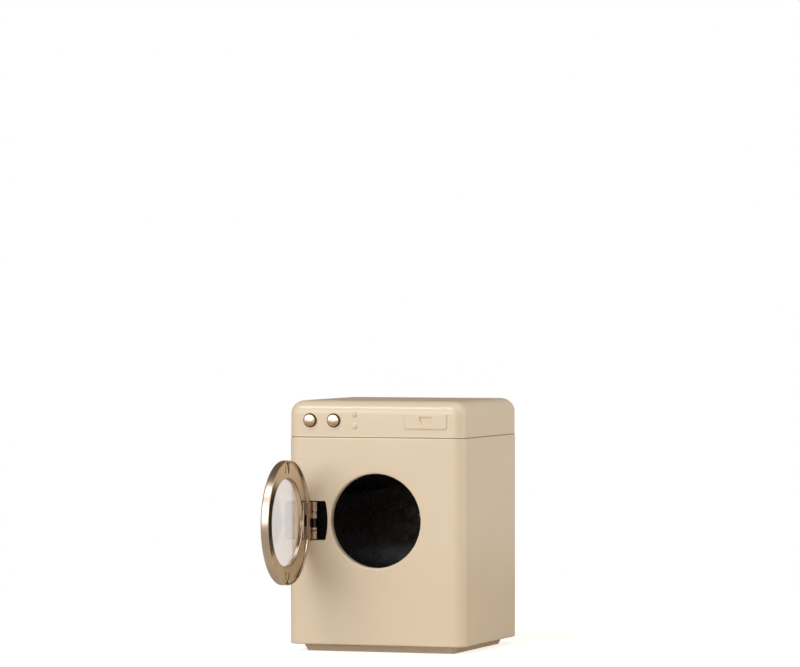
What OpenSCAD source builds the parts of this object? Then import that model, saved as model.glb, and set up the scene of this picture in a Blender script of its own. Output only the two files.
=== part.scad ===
// Toy washing machine: a painted tin case with an open front door, a drum, and two turning knobs.
// Millimetres. +Z is up, the front faces -Y, and the origin is the middle of the underside.

/* [Case] */
// Width of the case
case_w = 96; // [80:0.5:130]
// Depth of the case, front panel to rear flange
case_d = 93; // [84:0.5:130]
// Height from the ground to the top of the lid
case_h = 130; // [124:0.5:170]
// Radius of the case's upright corners
corner_r = 6; // [5.8:0.1:9]
// Thickness of the tin sheet
sheet_t = 0.5; // [0.4:0.05:0.7]
// Height of the wall of the lid, its rounded edge included
lid_h = 18.6; // [15:0.1:24]
// Radius of the edge between the lid's wall and its top
lid_edge_r = 5.7; // [3:0.1:5.7]
// Width of the dark line between the lid and the case
seam_gap = 0.4; // [0.2:0.05:0.8]
// Height above the seam of the inner band that the lid pushes over
neck_rise = 5; // [3:0.5:8]
// Height below the seam of the same band
neck_drop = 4; // [3:0.5:5]
// Radial gap between pieces of sheet that slide over each other
sheet_fit = 0.1; // [0.05:0.01:0.2]

/* [Plinth] */
// Height of the plinth below the case
plinth_h = 3.8; // [3:0.1:8]
// How far the plinth's top stands in from the case
plinth_inset = 5.6; // [5:0.1:9]
// How much further in the plinth's foot stands
plinth_taper = 2.3; // [1:0.1:2.8]
// Radius of the plinth's corners at the top
plinth_r = 4; // [3.6:0.1:7]

/* [Front opening] */
// Radius of the round opening in the front panel
opening_r = 24.3; // [20:0.1:27]
// Depth of the opening's centre below the lid's top
opening_drop = 61.9; // [58:0.1:66]
// Radius of the edge that rolls into the opening
lip_r = 1; // [0.8:0.05:1.2]
// Depth of the rolled edge behind the front face
lip_depth = 4; // [3:0.1:5]

/* [Door] */
// How far the door reaches past the opening all round
door_overlap = 7.6; // [6.5:0.1:10]
// Thickness of the door
door_t = 4.4; // [4.2:0.1:7]
// Gap between the closed door's rim and the front face
door_gap = 0.4; // [0.3:0.05:0.8]
// Sheet thickness of the door's shell
door_sheet = 0.6; // [0.4:0.05:0.8]
// Radius of the shell's outer edge
door_edge_r = 0.9; // [0.85:0.05:1.3]
// Radius of the window's clear part
window_r = 22.5; // [18:0.1:24]
// Thickness of the clear pane
window_t = 0.8; // [0.5:0.1:1.2]
// How far the pane reaches under the ring and the shell
window_seat = 3; // [2:0.1:4]
// Sheet thickness of the inner ring
ring_t = 0.5; // [0.4:0.05:0.7]
// Depth of the inner ring's face behind the rim's edge
ring_inset = 1.25; // [1.2:0.05:1.8]
// Gap between the inner ring and the rim
ring_fit = 0.1; // [0.05:0.05:0.2]
// Land between the window's edge and the slits at the ring's top and bottom
slit_land = 2.6; // [2:0.1:4]
// Width of a slit
slit_w = 0.5; // [0.3:0.05:0.8]
// Distance between the two slits of a pair
slit_pitch = 4.3; // [2:0.1:8]
// Angle at which the door stands open
door_open = 90; // [0:1:90]

/* [Hinge] */
// Distance from the door's rim to the hinge pin's centre
hinge_offset = 1.7; // [1.65:0.05:2.5]
// Depth of the pin's centre behind the front face
hinge_inset = 1.1; // [1:0.05:1.4]
// Length of the hinge
hinge_h = 19.2; // [17:0.1:24]
// How far the hinge's middle lies below the opening's centre
hinge_drop = 0.15; // [0:0.05:1]
// Outer radius of the knuckles
barrel_r = 1.6; // [1.5:0.05:1.65]
// Sheet thickness of the two leaves
leaf_t = 0.55; // [0.45:0.05:0.6]
// Diameter of the pin
pin_d = 1.8; // [1.2:0.1:1.8]
// Radial play of shafts and pins in their holes
running_fit = 0.05; // [0.02:0.01:0.09]
// Length of the fixed leaf's lower knuckle
knuckle_low = 4.2; // [3:0.1:5]
// Length of the door leaf's lower knuckle
knuckle_thin = 1.3; // [1:0.1:2]
// Length of bare pin between the door leaf's knuckles
knuckle_bare = 4.8; // [3:0.1:5.5]
// Length of the door leaf's upper knuckle
knuckle_mid = 3; // [2:0.1:4]
// Gap between two knuckles, end to end
knuckle_gap = 0.4; // [0.3:0.05:0.6]
// Gap between a knuckle and what turns past it
knuckle_clear = 0.35; // [0.3:0.05:0.5]
// Gap between the door leaf's foot and the window's edge
leaf_stay = 0.7; // [0.5:0.1:1]
// Land between the leaf's step and the slot in its foot
leaf_land = 1.2; // [1.1:0.05:1.3]
// Land between the slot and the foot's end
leaf_end = 1.4; // [1:0.1:1.6]
// Height of the slot in the foot
leaf_slot = 6.3; // [5:0.1:9]
// Play of the ring's tab in the slot, towards the pin
tab_fit = 0.05; // [0.02:0.01:0.1]
// Play of the tab at the slot's other edges
tab_play = 0.3; // [0.2:0.05:0.5]
// Gap between the folded tab and the leaf's step
tab_gap = 0.15; // [0.1:0.05:0.3]
// Length of the fixed leaf behind the pin's centre
leaf_back = 9; // [8.5:0.1:11]

/* [Hinge recess] */
// Height of the recess beyond the hinge, each end
recess_margin = 0.45; // [0.35:0.05:1]
// Width of the recess to the left of the pin's centre
recess_left = 3.6; // [2.5:0.1:5]
// Width of the strip of panel between the recess and the opening
recess_land = 2; // [1.9:0.05:3]
// Radius of the recess's bowed right edge
recess_bow_r = 45; // [30:1:120]

/* [Inner unit] */
// Wall of the plastic mouldings
plastic_t = 1.2; // [1:0.1:1.6]
// Margin of the plate behind the front panel, past its screw ears and the magnet
frame_margin = 3; // [1:0.5:4]
// Depth of the collar behind the front panel
collar_depth = 4.5; // [4:0.1:6]
// How much larger than the opening the tub's radius is
tub_extra = 6.7; // [6:0.1:9]
// Distance from the tub's back to the rear of the case
rear_space = 12.3; // [11:0.1:16]
// Length of the bearing boss behind the tub
boss_l = 6.8; // [5:0.1:8]
// Radial gap between drum and tub
drum_gap = 1; // [0.5:0.1:2]
// Wall of the drum
drum_t = 0.8; // [0.6:0.1:1.2]
// Gap in front of the drum
drum_front_gap = 0.8; // [0.5:0.1:2]
// Height of the lifters in the drum
lifter_h = 3.6; // [2:0.1:5]
// Width of a lifter at its root
lifter_w = 5; // [3:0.1:8]
// Number of lifters
lifter_n = 3; // [2:1:6]
// Diameter of the drum's holes
drum_hole_d = 2.4; // [1.5:0.1:3]
// Number of holes in a ring
drum_hole_n = 12; // [6:3:18]
// Distance between two rings of holes
drum_hole_pitch = 14; // [8:1:20]
// Diameter of the drum's axle
axle_d = 3; // [2:0.1:4]
// Wall of the bearing bush
bush_wall = 1.4; // [1:0.1:2]
// Axial play of the drum
drum_play = 0.2; // [0.1:0.05:0.4]
// Half-distance between the screws under the base, left to right
foot_x = 20; // [12:0.5:26]
// Thickness of the two saddles under the tub
saddle_t = 2; // [1.5:0.1:3]
// Distance from the front of the tub to the front saddle's middle
saddle_front_in = 11.5; // [6:0.5:20]
// Distance from the back of the tub to the rear saddle's middle
saddle_rear_in = 10.2; // [6:0.1:20]
// Depth of the wells that hide the screws under the base
well_h = 2.1; // [1.9:0.1:3]

/* [Screws] */
// Diameter of the screws' shanks
screw_d = 2; // [1.6:0.1:2.4]
// Diameter of the screws' heads
screw_head_d = 3.8; // [3:0.1:4.5]
// Thickness of the screws' heads
screw_head_h = 1.1; // [0.8:0.1:1.3]
// Length of the shanks
screw_l = 8; // [6:0.5:9]
// Distance from the rear panel's ends to its screws
rear_screw_in = 12; // [6:0.5:25]
// Distance between the two small screws at the hinge
hinge_screw_pitch = 12; // [8:0.5:14]
// Shank diameter of the small screws at the hinge
small_screw_d = 1.4; // [1:0.1:1.8]
// Shank length of the small screws at the hinge
small_screw_l = 3; // [2:0.1:3.2]

/* [Controls] */
// Diameter of the knobs
knob_d = 7.2; // [5:0.1:8]
// How far a knob stands out from the lid
knob_proud = 1.9; // [1:0.1:3]
// Height of the straight wall at a knob's edge
knob_skirt = 0.5; // [0.3:0.1:0.8]
// Gap between a knob and the lid
knob_lift = 0.15; // [0.1:0.05:0.3]
// Diameter of a knob's stem
knob_stem_d = 2.4; // [1.6:0.1:3]
// Distance from the left side to the first knob's centre
knob_from_side = 12.3; // [10:0.1:16]
// Distance between the two knobs
knob_pitch = 12.9; // [9:0.1:18]
// Depth of the controls' centre line below the lid's top
control_drop = 10.2; // [9.9:0.1:12]
// Diameter of the raised dots
dot_d = 2.4; // [1.5:0.1:3]
// Height of a dot
dot_h = 0.4; // [0.2:0.05:0.6]
// Distance between the two dots
dot_pitch = 6.2; // [4:0.1:7]
// Distance from the second knob to the dots
dot_from_knob = 11.4; // [8:0.1:14]
// Width of the drawer shape on the lid
drawer_w = 23.2; // [16:0.1:26]
// Height of the drawer shape
drawer_h = 8.4; // [6:0.1:9]
// Relief of the drawer shape
drawer_relief = 0.3; // [0.2:0.05:0.5]
// Distance from the right side to the drawer shape
drawer_from_side = 9.2; // [7:0.1:14]
// Diameter of the half-round pull in the drawer shape
pull_d = 6.2; // [4:0.1:8]
// Height of the pull
pull_h = 4; // [3.5:0.1:5]
// Depth of the pull
pull_depth = 0.35; // [0.2:0.05:0.5]
// Diameter of the catch magnet
magnet_d = 6; // [4:0.1:7]
// Thickness of the catch magnet
magnet_t = 2.5; // [1.5:0.1:3]

/* [Hidden] */
$fn = 96;
// Overlap that lets a cut run cleanly past a face
over = 0.1;

// Colours of the pieces
PAINT = "#E2D2B8";
DARK = "#15120F";
NICKEL = "#B39C80";
STEEL = "#9A958C";
BRASS = "#C8A75E";
CLEAR = "#D8D0CD80";

// Case
front_y = -case_d / 2;
rear_y = case_d / 2;
seam_z = case_h - lid_h - seam_gap / 2;
wrap_top_z = seam_z - seam_gap / 2;
lid_z = seam_z + seam_gap / 2;
wrap_h = wrap_top_z - plinth_h;
opening_z = case_h - opening_drop;
hem_w = plinth_inset - 0.3;
flange_w = 8;
rear_open_w = case_w - 2 * corner_r - 2 * flange_w;
neck_inset = sheet_t + sheet_fit;

// Plinth
plinth_w = case_w - 2 * plinth_inset;
plinth_d = case_d - 2 * plinth_inset;
pan_flange_z = plinth_h + sheet_t;
pan_flange_w = plinth_inset - sheet_t - 0.4;
well_r = screw_head_d / 2 + 0.5;

// Door, in its closed place: the rim's edge stands just off the front face
door_r = opening_r + door_overlap;
rim_y = front_y - door_gap;
pane_depth = door_t - door_sheet - window_t;

// Hinge
hinge_x = -(door_r + hinge_offset);
hinge_y = front_y + hinge_inset;
hinge_z = opening_z - hinge_drop - hinge_h / 2;
bore_r = pin_d / 2 + running_fit;
// A leaf's outer face lies this far inside the knuckle's tangent
leaf_tuck = 0.03;
leaf_face = barrel_r - leaf_tuck;
knuckle_thin_z = hinge_z + knuckle_low + knuckle_gap;
knuckle_mid_z = knuckle_thin_z + knuckle_thin + knuckle_bare;
knuckle_top_z = knuckle_mid_z + knuckle_mid + knuckle_gap;
knuckle_top = hinge_z + hinge_h - knuckle_top_z;
leaf_start = barrel_r + knuckle_clear;
rim_inner_r = door_r - door_sheet;
leaf_half = hinge_h / 2 + hinge_drop;
leaf_drop_x = -sqrt(rim_inner_r * rim_inner_r - leaf_half * leaf_half) + 0.15;
ring_y = rim_y - ring_inset;
leaf_foot = -(window_r + leaf_stay) - leaf_drop_x;
slot_x0 = leaf_drop_x + leaf_land;
slot_x1 = leaf_drop_x + leaf_foot - leaf_end;
slot_z = hinge_z + (hinge_h - leaf_slot) / 2;

// Recess in the front panel
recess_x0 = hinge_x - recess_left;
recess_x1 = -(opening_r + recess_land);
recess_z = hinge_z - recess_margin;
recess_h = hinge_h + 2 * recess_margin;
pocket_back_y = hinge_y + barrel_r + 0.5;
pocket_wall = 0.9;
pad_l = leaf_back - (pocket_back_y + pocket_wall - hinge_y);
pad_x = hinge_x - leaf_face;

// Inner unit
frame_y = front_y + sheet_t;
frame_bore_r = opening_r + lip_r + 0.2;
collar_y = front_y + sheet_t + collar_depth;
tub_r = opening_r + tub_extra;
tub_front_y = collar_y;
tub_back_y = rear_y - rear_space;
ear_r = 3;
ear_place = (tub_r + 2.5) / sqrt(2);
ear_l = 5.5;
drum_r = tub_r - plastic_t - drum_gap;
drum_front_y = tub_front_y + plastic_t + drum_front_gap;
bush_r = axle_d / 2 + running_fit + bush_wall;
bush_flange_t = 0.8;
bush_flange_y = tub_back_y - plastic_t - bush_flange_t;
washer_t = 0.5;
washer_y = bush_flange_y - drum_play - washer_t;
hub_l = 1.5;
drum_back_y = washer_y - hub_l;
drum_mouth_r = frame_bore_r;
clip_y = tub_back_y + boss_l + drum_play;
clip_t = 0.4;
saddle_places = [tub_front_y + saddle_front_in, tub_back_y - saddle_rear_in];
saddle_w = 2 * (foot_x + ear_r);
foot_places = [for (x = [-foot_x, foot_x], y = saddle_places) [x, y]];
rear_panel_z = pan_flange_z + sheet_t + 0.4;
rear_panel_top = seam_z - neck_drop - 0.3;
rear_screw_x = rear_open_w / 2 + flange_w / 2;
rear_screw_zs = [rear_panel_z + rear_screw_in, rear_panel_top - rear_screw_in];
hinge_screw_y = pocket_back_y + pocket_wall + pad_l / 2;
hinge_screw_zs = [for (side = [-1, 1]) hinge_z + (hinge_h + side * hinge_screw_pitch) / 2];
magnet_x = door_r - 1.2;

// Controls
control_z = case_h - control_drop;
knob_left_x = -case_w / 2 + knob_from_side;
knob_right_x = knob_left_x + knob_pitch;
dot_x = knob_right_x + dot_from_knob;
drawer_x = case_w / 2 - drawer_from_side - drawer_w / 2;
stem_reach = 2.4;
knob_clip_gap = 0.15;

// ---- Shared shapes ----

// A quarter of a disc, in the corner between +X and +Y
module quarter(r) {
    intersection() {
        circle(r);
        square(r);
    }
}

// A quarter of a ring
module quarter_ring(r, t) {
    difference() {
        quarter(r);
        circle(r - t);
    }
}

// A rectangle with round corners, centred
module rounded(w, d, r) {
    square([w - 2 * r, d], center = true);
    for (side = [-1, 1])
        translate([side * (w - r) / 2, 0])
            square([r, d - 2 * r], center = true);
    for (a = [0 : 3])
        rotate(90 * a)
            translate([(a % 2 == 0 ? w : d) / 2 - r, (a % 2 == 0 ? d : w) / 2 - r])
                quarter(r);
}

// The outline of a rounded rectangle, as a band of thickness t
module band(w, d, r, t) {
    difference() {
        rounded(w, d, r);
        rounded(w - 2 * t, d - 2 * t, r - t);
    }
}

// Carries a section round a rounded rectangle; the section's x counts from the corner's centre
module around(w, d, r) {
    for (a = [0 : 3]) {
        side = a % 2 == 0 ? w : d;
        run = a % 2 == 0 ? d : w;
        rotate(90 * a)
            translate([side / 2 - r, run / 2 - r, 0]) {
                rotate_extrude(angle = 90)
                    children();
                rotate([90, 0, 0])
                    linear_extrude(run - 2 * r)
                        children();
            }
    }
}

// Turns a shape so that its +Z runs back into the machine, from the opening's centre
module inward(y) {
    translate([0, y, opening_z])
        rotate([-90, 0, 0])
            children();
}

// Turns a shape so that its +Z runs forward out of the machine, from the closed door's rim
module on_door() {
    translate([0, rim_y, opening_z])
        rotate([90, 0, 0])
            children();
}

// Swings the closed door's pieces to where the door stands open
module swung() {
    translate([hinge_x, hinge_y, 0])
        rotate(-door_open)
            translate([-hinge_x, -hinge_y, 0])
                children();
}

// A ring or tube
module tube(r, bore, l) {
    difference() {
        cylinder(r = r, h = l);
        translate([0, 0, -over])
            cylinder(r = bore, h = l + 2 * over);
    }
}

// A pan-head screw with its head's underside at z = 0 and its shank along -Z
module screw(d, l, head_d, head_h) {
    translate([0, 0, -l])
        cylinder(d = d, h = l);
    difference() {
        cylinder(d = head_d, h = head_h);
        for (a = [0, 90])
            rotate(a)
                translate([-head_d / 4, -head_d / 14, head_h / 2])
                    cube([head_d / 2, head_d / 7, head_h]);
    }
}

// ---- Case ----

module opening_lip() {
    inward(front_y)
        rotate_extrude() {
            translate([opening_r + lip_r, lip_r])
                rotate(180)
                    quarter_ring(lip_r, sheet_t);
            translate([opening_r, lip_r])
                square([sheet_t, lip_depth - lip_r]);
        }
}

// The recess's outline, seen from the front: its right edge bows towards the opening
module recess_outline() {
    intersection() {
        translate([recess_x0, recess_z])
            square([recess_x1 - recess_x0, recess_h]);
        translate([recess_x1 - recess_bow_r, recess_z + recess_h / 2])
            circle(recess_bow_r);
    }
}

module recess_cut(y, depth) {
    translate([0, y + depth, 0])
        rotate([90, 0, 0])
            linear_extrude(depth)
                recess_outline();
}

module rear_screw_holes(d) {
    for (side = [-1, 1], z = rear_screw_zs)
        translate([side * rear_screw_x, rear_y + over, z])
            rotate([90, 0, 0])
                cylinder(d = d, h = 2 * sheet_t + 2 * over);
}

module case_wrap() {
    color(PAINT) {
        difference() {
            union() {
                translate([0, 0, plinth_h])
                    linear_extrude(wrap_h)
                        band(case_w, case_d, corner_r, sheet_t);
                translate([0, 0, plinth_h])
                    linear_extrude(sheet_t)
                        band(case_w, case_d, corner_r, hem_w);
            }
            inward(front_y - over)
                cylinder(r = opening_r + lip_r, h = sheet_t + 2 * over);
            recess_cut(front_y - over, sheet_t + 2 * over);
            translate([-rear_open_w / 2, rear_y - sheet_t - over, pan_flange_z])
                cube([rear_open_w, sheet_t + 2 * over, case_h]);
            rear_screw_holes(screw_d + 0.2);
        }
        opening_lip();
    }
}

module neck_band() {
    color(PAINT)
        translate([0, 0, seam_z - neck_drop])
            linear_extrude(neck_drop + neck_rise)
                band(case_w - 2 * neck_inset, case_d - 2 * neck_inset, corner_r - neck_inset, sheet_t);
}

// Section of the lid's wall and rounded edge
module lid_section() {
    edge_r = min(lid_edge_r, corner_r - 0.2);
    translate([corner_r - sheet_t, lid_z])
        square([sheet_t, lid_h - edge_r]);
    translate([corner_r - edge_r, case_h - edge_r])
        quarter_ring(edge_r, sheet_t);
    translate([0, case_h - sheet_t])
        square([corner_r - edge_r, sheet_t]);
}

// A raised dot, as a cap of a sphere
module dot() {
    ball_r = (dot_d * dot_d / 4 + dot_h * dot_h) / (2 * dot_h);
    intersection() {
        translate([0, 0, dot_h - ball_r])
            sphere(ball_r);
        translate([0, 0, -sheet_t / 2])
            cylinder(d = dot_d, h = sheet_t / 2 + dot_h + over);
    }
}

module pull_outline() {
    translate([-pull_d / 2, pull_h / 2 - (pull_h - pull_d / 2)])
        square([pull_d, pull_h - pull_d / 2]);
    translate([0, pull_h / 2 - (pull_h - pull_d / 2)])
        intersection() {
            circle(d = pull_d);
            translate([-pull_d / 2, -pull_d])
                square([pull_d, pull_d]);
        }
}

// Places a shape on the lid's front, with its +Z out of the face
module on_lid_front(x, z) {
    translate([x, front_y, z])
        rotate([90, 0, 0])
            children();
}

module top_lid() {
    color(PAINT)
        difference() {
            union() {
                around(case_w, case_d, corner_r)
                    lid_section();
                translate([0, 0, case_h - sheet_t / 2])
                    cube([case_w - 2 * corner_r, case_d - 2 * corner_r, sheet_t], center = true);
                for (side = [-1, 1])
                    on_lid_front(dot_x, control_z + side * dot_pitch / 2)
                        dot();
                on_lid_front(drawer_x, control_z)
                    translate([0, 0, -sheet_t / 2])
                        linear_extrude(sheet_t / 2 + drawer_relief)
                            rounded(drawer_w, drawer_h, 1);
            }
            on_lid_front(drawer_x, control_z)
                translate([0, 0, drawer_relief - pull_depth])
                    linear_extrude(pull_depth + over)
                        pull_outline();
            for (x = [knob_left_x, knob_right_x])
                on_lid_front(x, control_z)
                    translate([0, 0, -sheet_t - over])
                        cylinder(r = knob_stem_d / 2 + running_fit, h = sheet_t + 2 * over);
        }
}

module rear_panel() {
    panel_w = rear_open_w + 2 * flange_w;
    color(PAINT)
        difference() {
            translate([-panel_w / 2, rear_y - 2 * sheet_t, rear_panel_z])
                cube([panel_w, sheet_t, rear_panel_top - rear_panel_z]);
            rear_screw_holes(screw_d + 0.04);
        }
}

module rear_screws() {
    color(STEEL)
        for (side = [-1, 1], z = rear_screw_zs)
            translate([side * rear_screw_x, rear_y, z])
                rotate([-90, 0, 0])
                    screw(screw_d, screw_l / 2, screw_head_d, screw_head_h);
}

// ---- Base ----

module pan_section() {
    polygon([
        [0, 0],
        [plinth_r - plinth_taper, 0],
        [plinth_r, pan_flange_z],
        [plinth_r + pan_flange_w, pan_flange_z],
        [plinth_r + pan_flange_w, pan_flange_z + sheet_t],
        [plinth_r - sheet_t, pan_flange_z + sheet_t],
        [plinth_r - plinth_taper - sheet_t, sheet_t],
        [0, sheet_t]
    ]);
}

module base_pan() {
    color(PAINT)
        difference() {
            union() {
                around(plinth_w, plinth_d, plinth_r)
                    pan_section();
                translate([0, 0, sheet_t / 2])
                    cube([plinth_w - 2 * plinth_r, plinth_d - 2 * plinth_r, sheet_t], center = true);
                for (p = foot_places)
                    translate([p[0], p[1], 0])
                        cylinder(r = well_r + sheet_t, h = well_h);
            }
            for (p = foot_places)
                translate([p[0], p[1], -over]) {
                    cylinder(r = well_r, h = well_h - sheet_t + over);
                    cylinder(d = screw_d + 0.2, h = well_h + 2 * over);
                }
        }
}

module base_screws() {
    color(STEEL)
        for (p = foot_places)
            translate([p[0], p[1], well_h - sheet_t])
                rotate([180, 0, 0])
                    screw(screw_d, screw_l, screw_head_d, screw_head_h);
}

// ---- Inner unit ----

// Places a shape at each of the four screw ears, with its +Z running back
module at_ears(y) {
    for (sx = [-1, 1], sz = [-1, 1])
        translate([sx * ear_place, y, opening_z + sz * ear_place])
            rotate([-90, 0, 0])
                children();
}

module frame_plate() {
    half_h = ear_place + ear_r + frame_margin;
    left_x = recess_x0 - plastic_t;
    right_x = magnet_x + magnet_d / 2 + frame_margin;
    translate([left_x, frame_y, opening_z - half_h])
        cube([right_x - left_x, plastic_t, 2 * half_h]);
}

module pocket_box() {
    translate([recess_x0 - plastic_t, frame_y, recess_z - plastic_t])
        cube([recess_x1 + 1.6 * plastic_t - recess_x0, pocket_back_y + pocket_wall - frame_y,
            recess_h + 2 * plastic_t]);
    translate([recess_x0 - plastic_t, pocket_back_y, recess_z])
        cube([pad_x - recess_x0 + plastic_t, pocket_wall + pad_l, recess_h]);
}

module front_frame() {
    color(DARK)
        difference() {
            union() {
                frame_plate();
                pocket_box();
                inward(frame_y)
                    cylinder(r = frame_bore_r + plastic_t, h = collar_depth);
                at_ears(frame_y)
                    cylinder(r = ear_r, h = collar_depth);
                translate([magnet_x, frame_y, opening_z])
                    rotate([-90, 0, 0])
                        cylinder(d = magnet_d + 2 * plastic_t, h = magnet_t + plastic_t);
            }
            inward(frame_y - over)
                cylinder(r = frame_bore_r, h = collar_depth + 2 * over);
            recess_cut(frame_y - over, pocket_back_y - frame_y + over);
            translate([pad_x, pocket_back_y - over, hinge_z - 0.1])
                cube([leaf_t + 0.1, pocket_wall + pad_l + 2 * over, hinge_h + 0.2]);
            for (z = hinge_screw_zs)
                translate([pad_x + over, hinge_screw_y, z])
                    rotate([0, -90, 0])
                        cylinder(d = small_screw_d + 0.04, h = small_screw_l - leaf_t + 0.2);
            translate([magnet_x, frame_y - over, opening_z])
                rotate([-90, 0, 0])
                    cylinder(d = magnet_d + 0.1, h = magnet_t + over);
            at_ears(frame_y + 0.7)
                cylinder(d = screw_d + 0.04, h = collar_depth);
        }
}

module catch_magnet() {
    color(STEEL)
        translate([magnet_x, frame_y, opening_z])
            rotate([-90, 0, 0])
                cylinder(d = magnet_d, h = magnet_t);
}

module tub_front_ring() {
    color(DARK)
        difference() {
            union() {
                inward(tub_front_y)
                    cylinder(r = tub_r, h = plastic_t);
                at_ears(tub_front_y)
                    cylinder(r = ear_r, h = ear_l);
            }
            inward(tub_front_y - over)
                cylinder(r = frame_bore_r, h = plastic_t + 2 * over);
            inward(tub_front_y + plastic_t)
                cylinder(r = tub_r + sheet_fit, h = ear_l);
            at_ears(tub_front_y - over)
                cylinder(d = screw_d + 0.2, h = ear_l + 2 * over);
        }
}

module tub() {
    barrel_y = tub_front_y + plastic_t;
    barrel_l = tub_back_y - barrel_y;
    color(DARK)
        inward(barrel_y)
            difference() {
                union() {
                    cylinder(r = tub_r, h = barrel_l);
                    cylinder(r = bush_r + 2, h = barrel_l + boss_l);
                }
                translate([0, 0, -over])
                    cylinder(r = tub_r - plastic_t, h = barrel_l - plastic_t + over);
                cylinder(r = bush_r + 0.02, h = barrel_l + boss_l + over);
            }
}

module tub_cradle() {
    color(DARK)
        difference() {
            union() {
                for (y = saddle_places)
                    translate([-saddle_w / 2, y - saddle_t / 2, well_h])
                        cube([saddle_w, saddle_t, opening_z - tub_r / 2 - well_h]);
                for (p = foot_places)
                    translate([p[0], p[1], well_h])
                        cylinder(r = ear_r, h = screw_l + 2);
            }
            inward(front_y)
                cylinder(r = tub_r + sheet_fit, h = case_d);
            for (p = foot_places)
                translate([p[0], p[1], well_h - over])
                    cylinder(d = screw_d + 0.04, h = screw_l);
        }
}

module frame_screws() {
    color(STEEL)
        at_ears(tub_front_y + ear_l)
            screw(screw_d, screw_l, screw_head_d, screw_head_h);
}

module drum_bush() {
    bush_l = bush_flange_t + plastic_t + boss_l;
    color(BRASS)
        inward(bush_flange_y)
            difference() {
                union() {
                    cylinder(r = bush_r, h = bush_l);
                    cylinder(r = bush_r + 1.2, h = bush_flange_t);
                }
                translate([0, 0, -over])
                    cylinder(r = axle_d / 2 + running_fit, h = bush_l + 2 * over);
            }
}

module lifter() {
    rotate([-90, 0, 0])
        linear_extrude(drum_back_y - drum_front_y - drum_t)
            polygon([
                [-lifter_w / 2, 0],
                [lifter_w / 2, 0],
                [lifter_w / 4, lifter_h + drum_t / 2],
                [-lifter_w / 4, lifter_h + drum_t / 2]
            ]);
}

module drum() {
    drum_l = drum_back_y - drum_front_y;
    color(DARK)
        difference() {
            union() {
                inward(drum_front_y)
                    difference() {
                        cylinder(r = drum_r, h = drum_l);
                        translate([0, 0, drum_t])
                            cylinder(r = drum_r - drum_t, h = drum_l - 2 * drum_t);
                        translate([0, 0, -over])
                            cylinder(r = drum_mouth_r, h = drum_t + 2 * over);
                    }
                inward(drum_back_y - over)
                    cylinder(r = bush_r + 2, h = hub_l + over);
                for (i = [0 : lifter_n - 1])
                    translate([0, drum_front_y + drum_t / 2, opening_z])
                        rotate([0, 360 / lifter_n * i + 180, 0])
                            translate([0, 0, drum_r - drum_t / 2])
                                lifter();
            }
            inward(drum_back_y - drum_t - over)
                cylinder(d = axle_d + 0.04, h = drum_t + hub_l + 2 * over);
            for (row = [-1 : 1], i = [0 : drum_hole_n - 1])
                translate([0, (drum_front_y + drum_back_y) / 2 + row * drum_hole_pitch, opening_z])
                    rotate([0, 360 / drum_hole_n * (i + 0.5), 0])
                        translate([0, 0, drum_r - drum_t - over])
                            cylinder(d = drum_hole_d, h = drum_t + 2 * over);
        }
}

module drum_axle() {
    tail = 1;
    color(STEEL)
        inward(drum_back_y - drum_t)
            cylinder(d = axle_d, h = clip_y + clip_t + tail - drum_back_y + drum_t);
}

module drum_washer() {
    color(STEEL)
        inward(washer_y)
            tube(bush_r + 1.2, axle_d / 2 + 0.02, washer_t);
}

module axle_clip() {
    color(STEEL)
        inward(clip_y)
            tube(axle_d / 2 + 2, axle_d / 2 + 0.02, clip_t);
}

// ---- Hinge ----

// A knuckle, with its lower end at height z
module knuckle(z, l) {
    translate([hinge_x, hinge_y, z])
        cylinder(r = barrel_r, h = l);
}

// The hole along the whole barrel
module pin_bore() {
    translate([hinge_x, hinge_y, hinge_z - over])
        cylinder(r = bore_r, h = hinge_h + 2 * over);
}

module hinge_fixed_leaf() {
    color(NICKEL)
        difference() {
            union() {
                for (k = [[hinge_z, knuckle_low], [knuckle_top_z, knuckle_top]]) {
                    knuckle(k[0], k[1]);
                    translate([hinge_x - leaf_face, hinge_y, k[0]])
                        cube([leaf_t, leaf_start + over, k[1]]);
                }
                translate([hinge_x - leaf_face, hinge_y + leaf_start, hinge_z])
                    cube([leaf_t, leaf_back - leaf_start, hinge_h]);
            }
            pin_bore();
            for (z = hinge_screw_zs)
                translate([pad_x - over, hinge_screw_y, z])
                    rotate([0, 90, 0])
                        cylinder(d = small_screw_d + 0.1, h = leaf_t + 2 * over);
        }
}

module hinge_screws() {
    color(STEEL)
        for (z = hinge_screw_zs)
            translate([pad_x + leaf_t, hinge_screw_y, z])
                rotate([0, 90, 0])
                    screw(small_screw_d, small_screw_l, 2 * small_screw_d, 0.6 * small_screw_d);
}

module hinge_pin() {
    color(STEEL)
        translate([hinge_x, hinge_y, hinge_z])
            cylinder(d = pin_d, h = hinge_h);
}

module hinge_door_leaf() {
    strip_y = hinge_y - leaf_face;
    color(NICKEL)
        swung()
            difference() {
                union() {
                    for (k = [[knuckle_thin_z, knuckle_thin], [knuckle_mid_z, knuckle_mid]]) {
                        knuckle(k[0], k[1]);
                        translate([hinge_x, strip_y, k[0]])
                            cube([leaf_start + over, leaf_t, k[1]]);
                    }
                    translate([hinge_x + leaf_start, strip_y, hinge_z])
                        cube([leaf_drop_x + leaf_t - hinge_x - leaf_start, leaf_t, hinge_h]);
                    translate([leaf_drop_x, ring_y, hinge_z])
                        cube([leaf_t, strip_y + leaf_t - ring_y, hinge_h]);
                    translate([leaf_drop_x, ring_y, hinge_z])
                        cube([leaf_foot, leaf_t, hinge_h]);
                }
                pin_bore();
                translate([slot_x0, ring_y - over, slot_z])
                    cube([slot_x1 - slot_x0, leaf_t + 2 * over, leaf_slot]);
            }
}

// ---- Door ----

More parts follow.
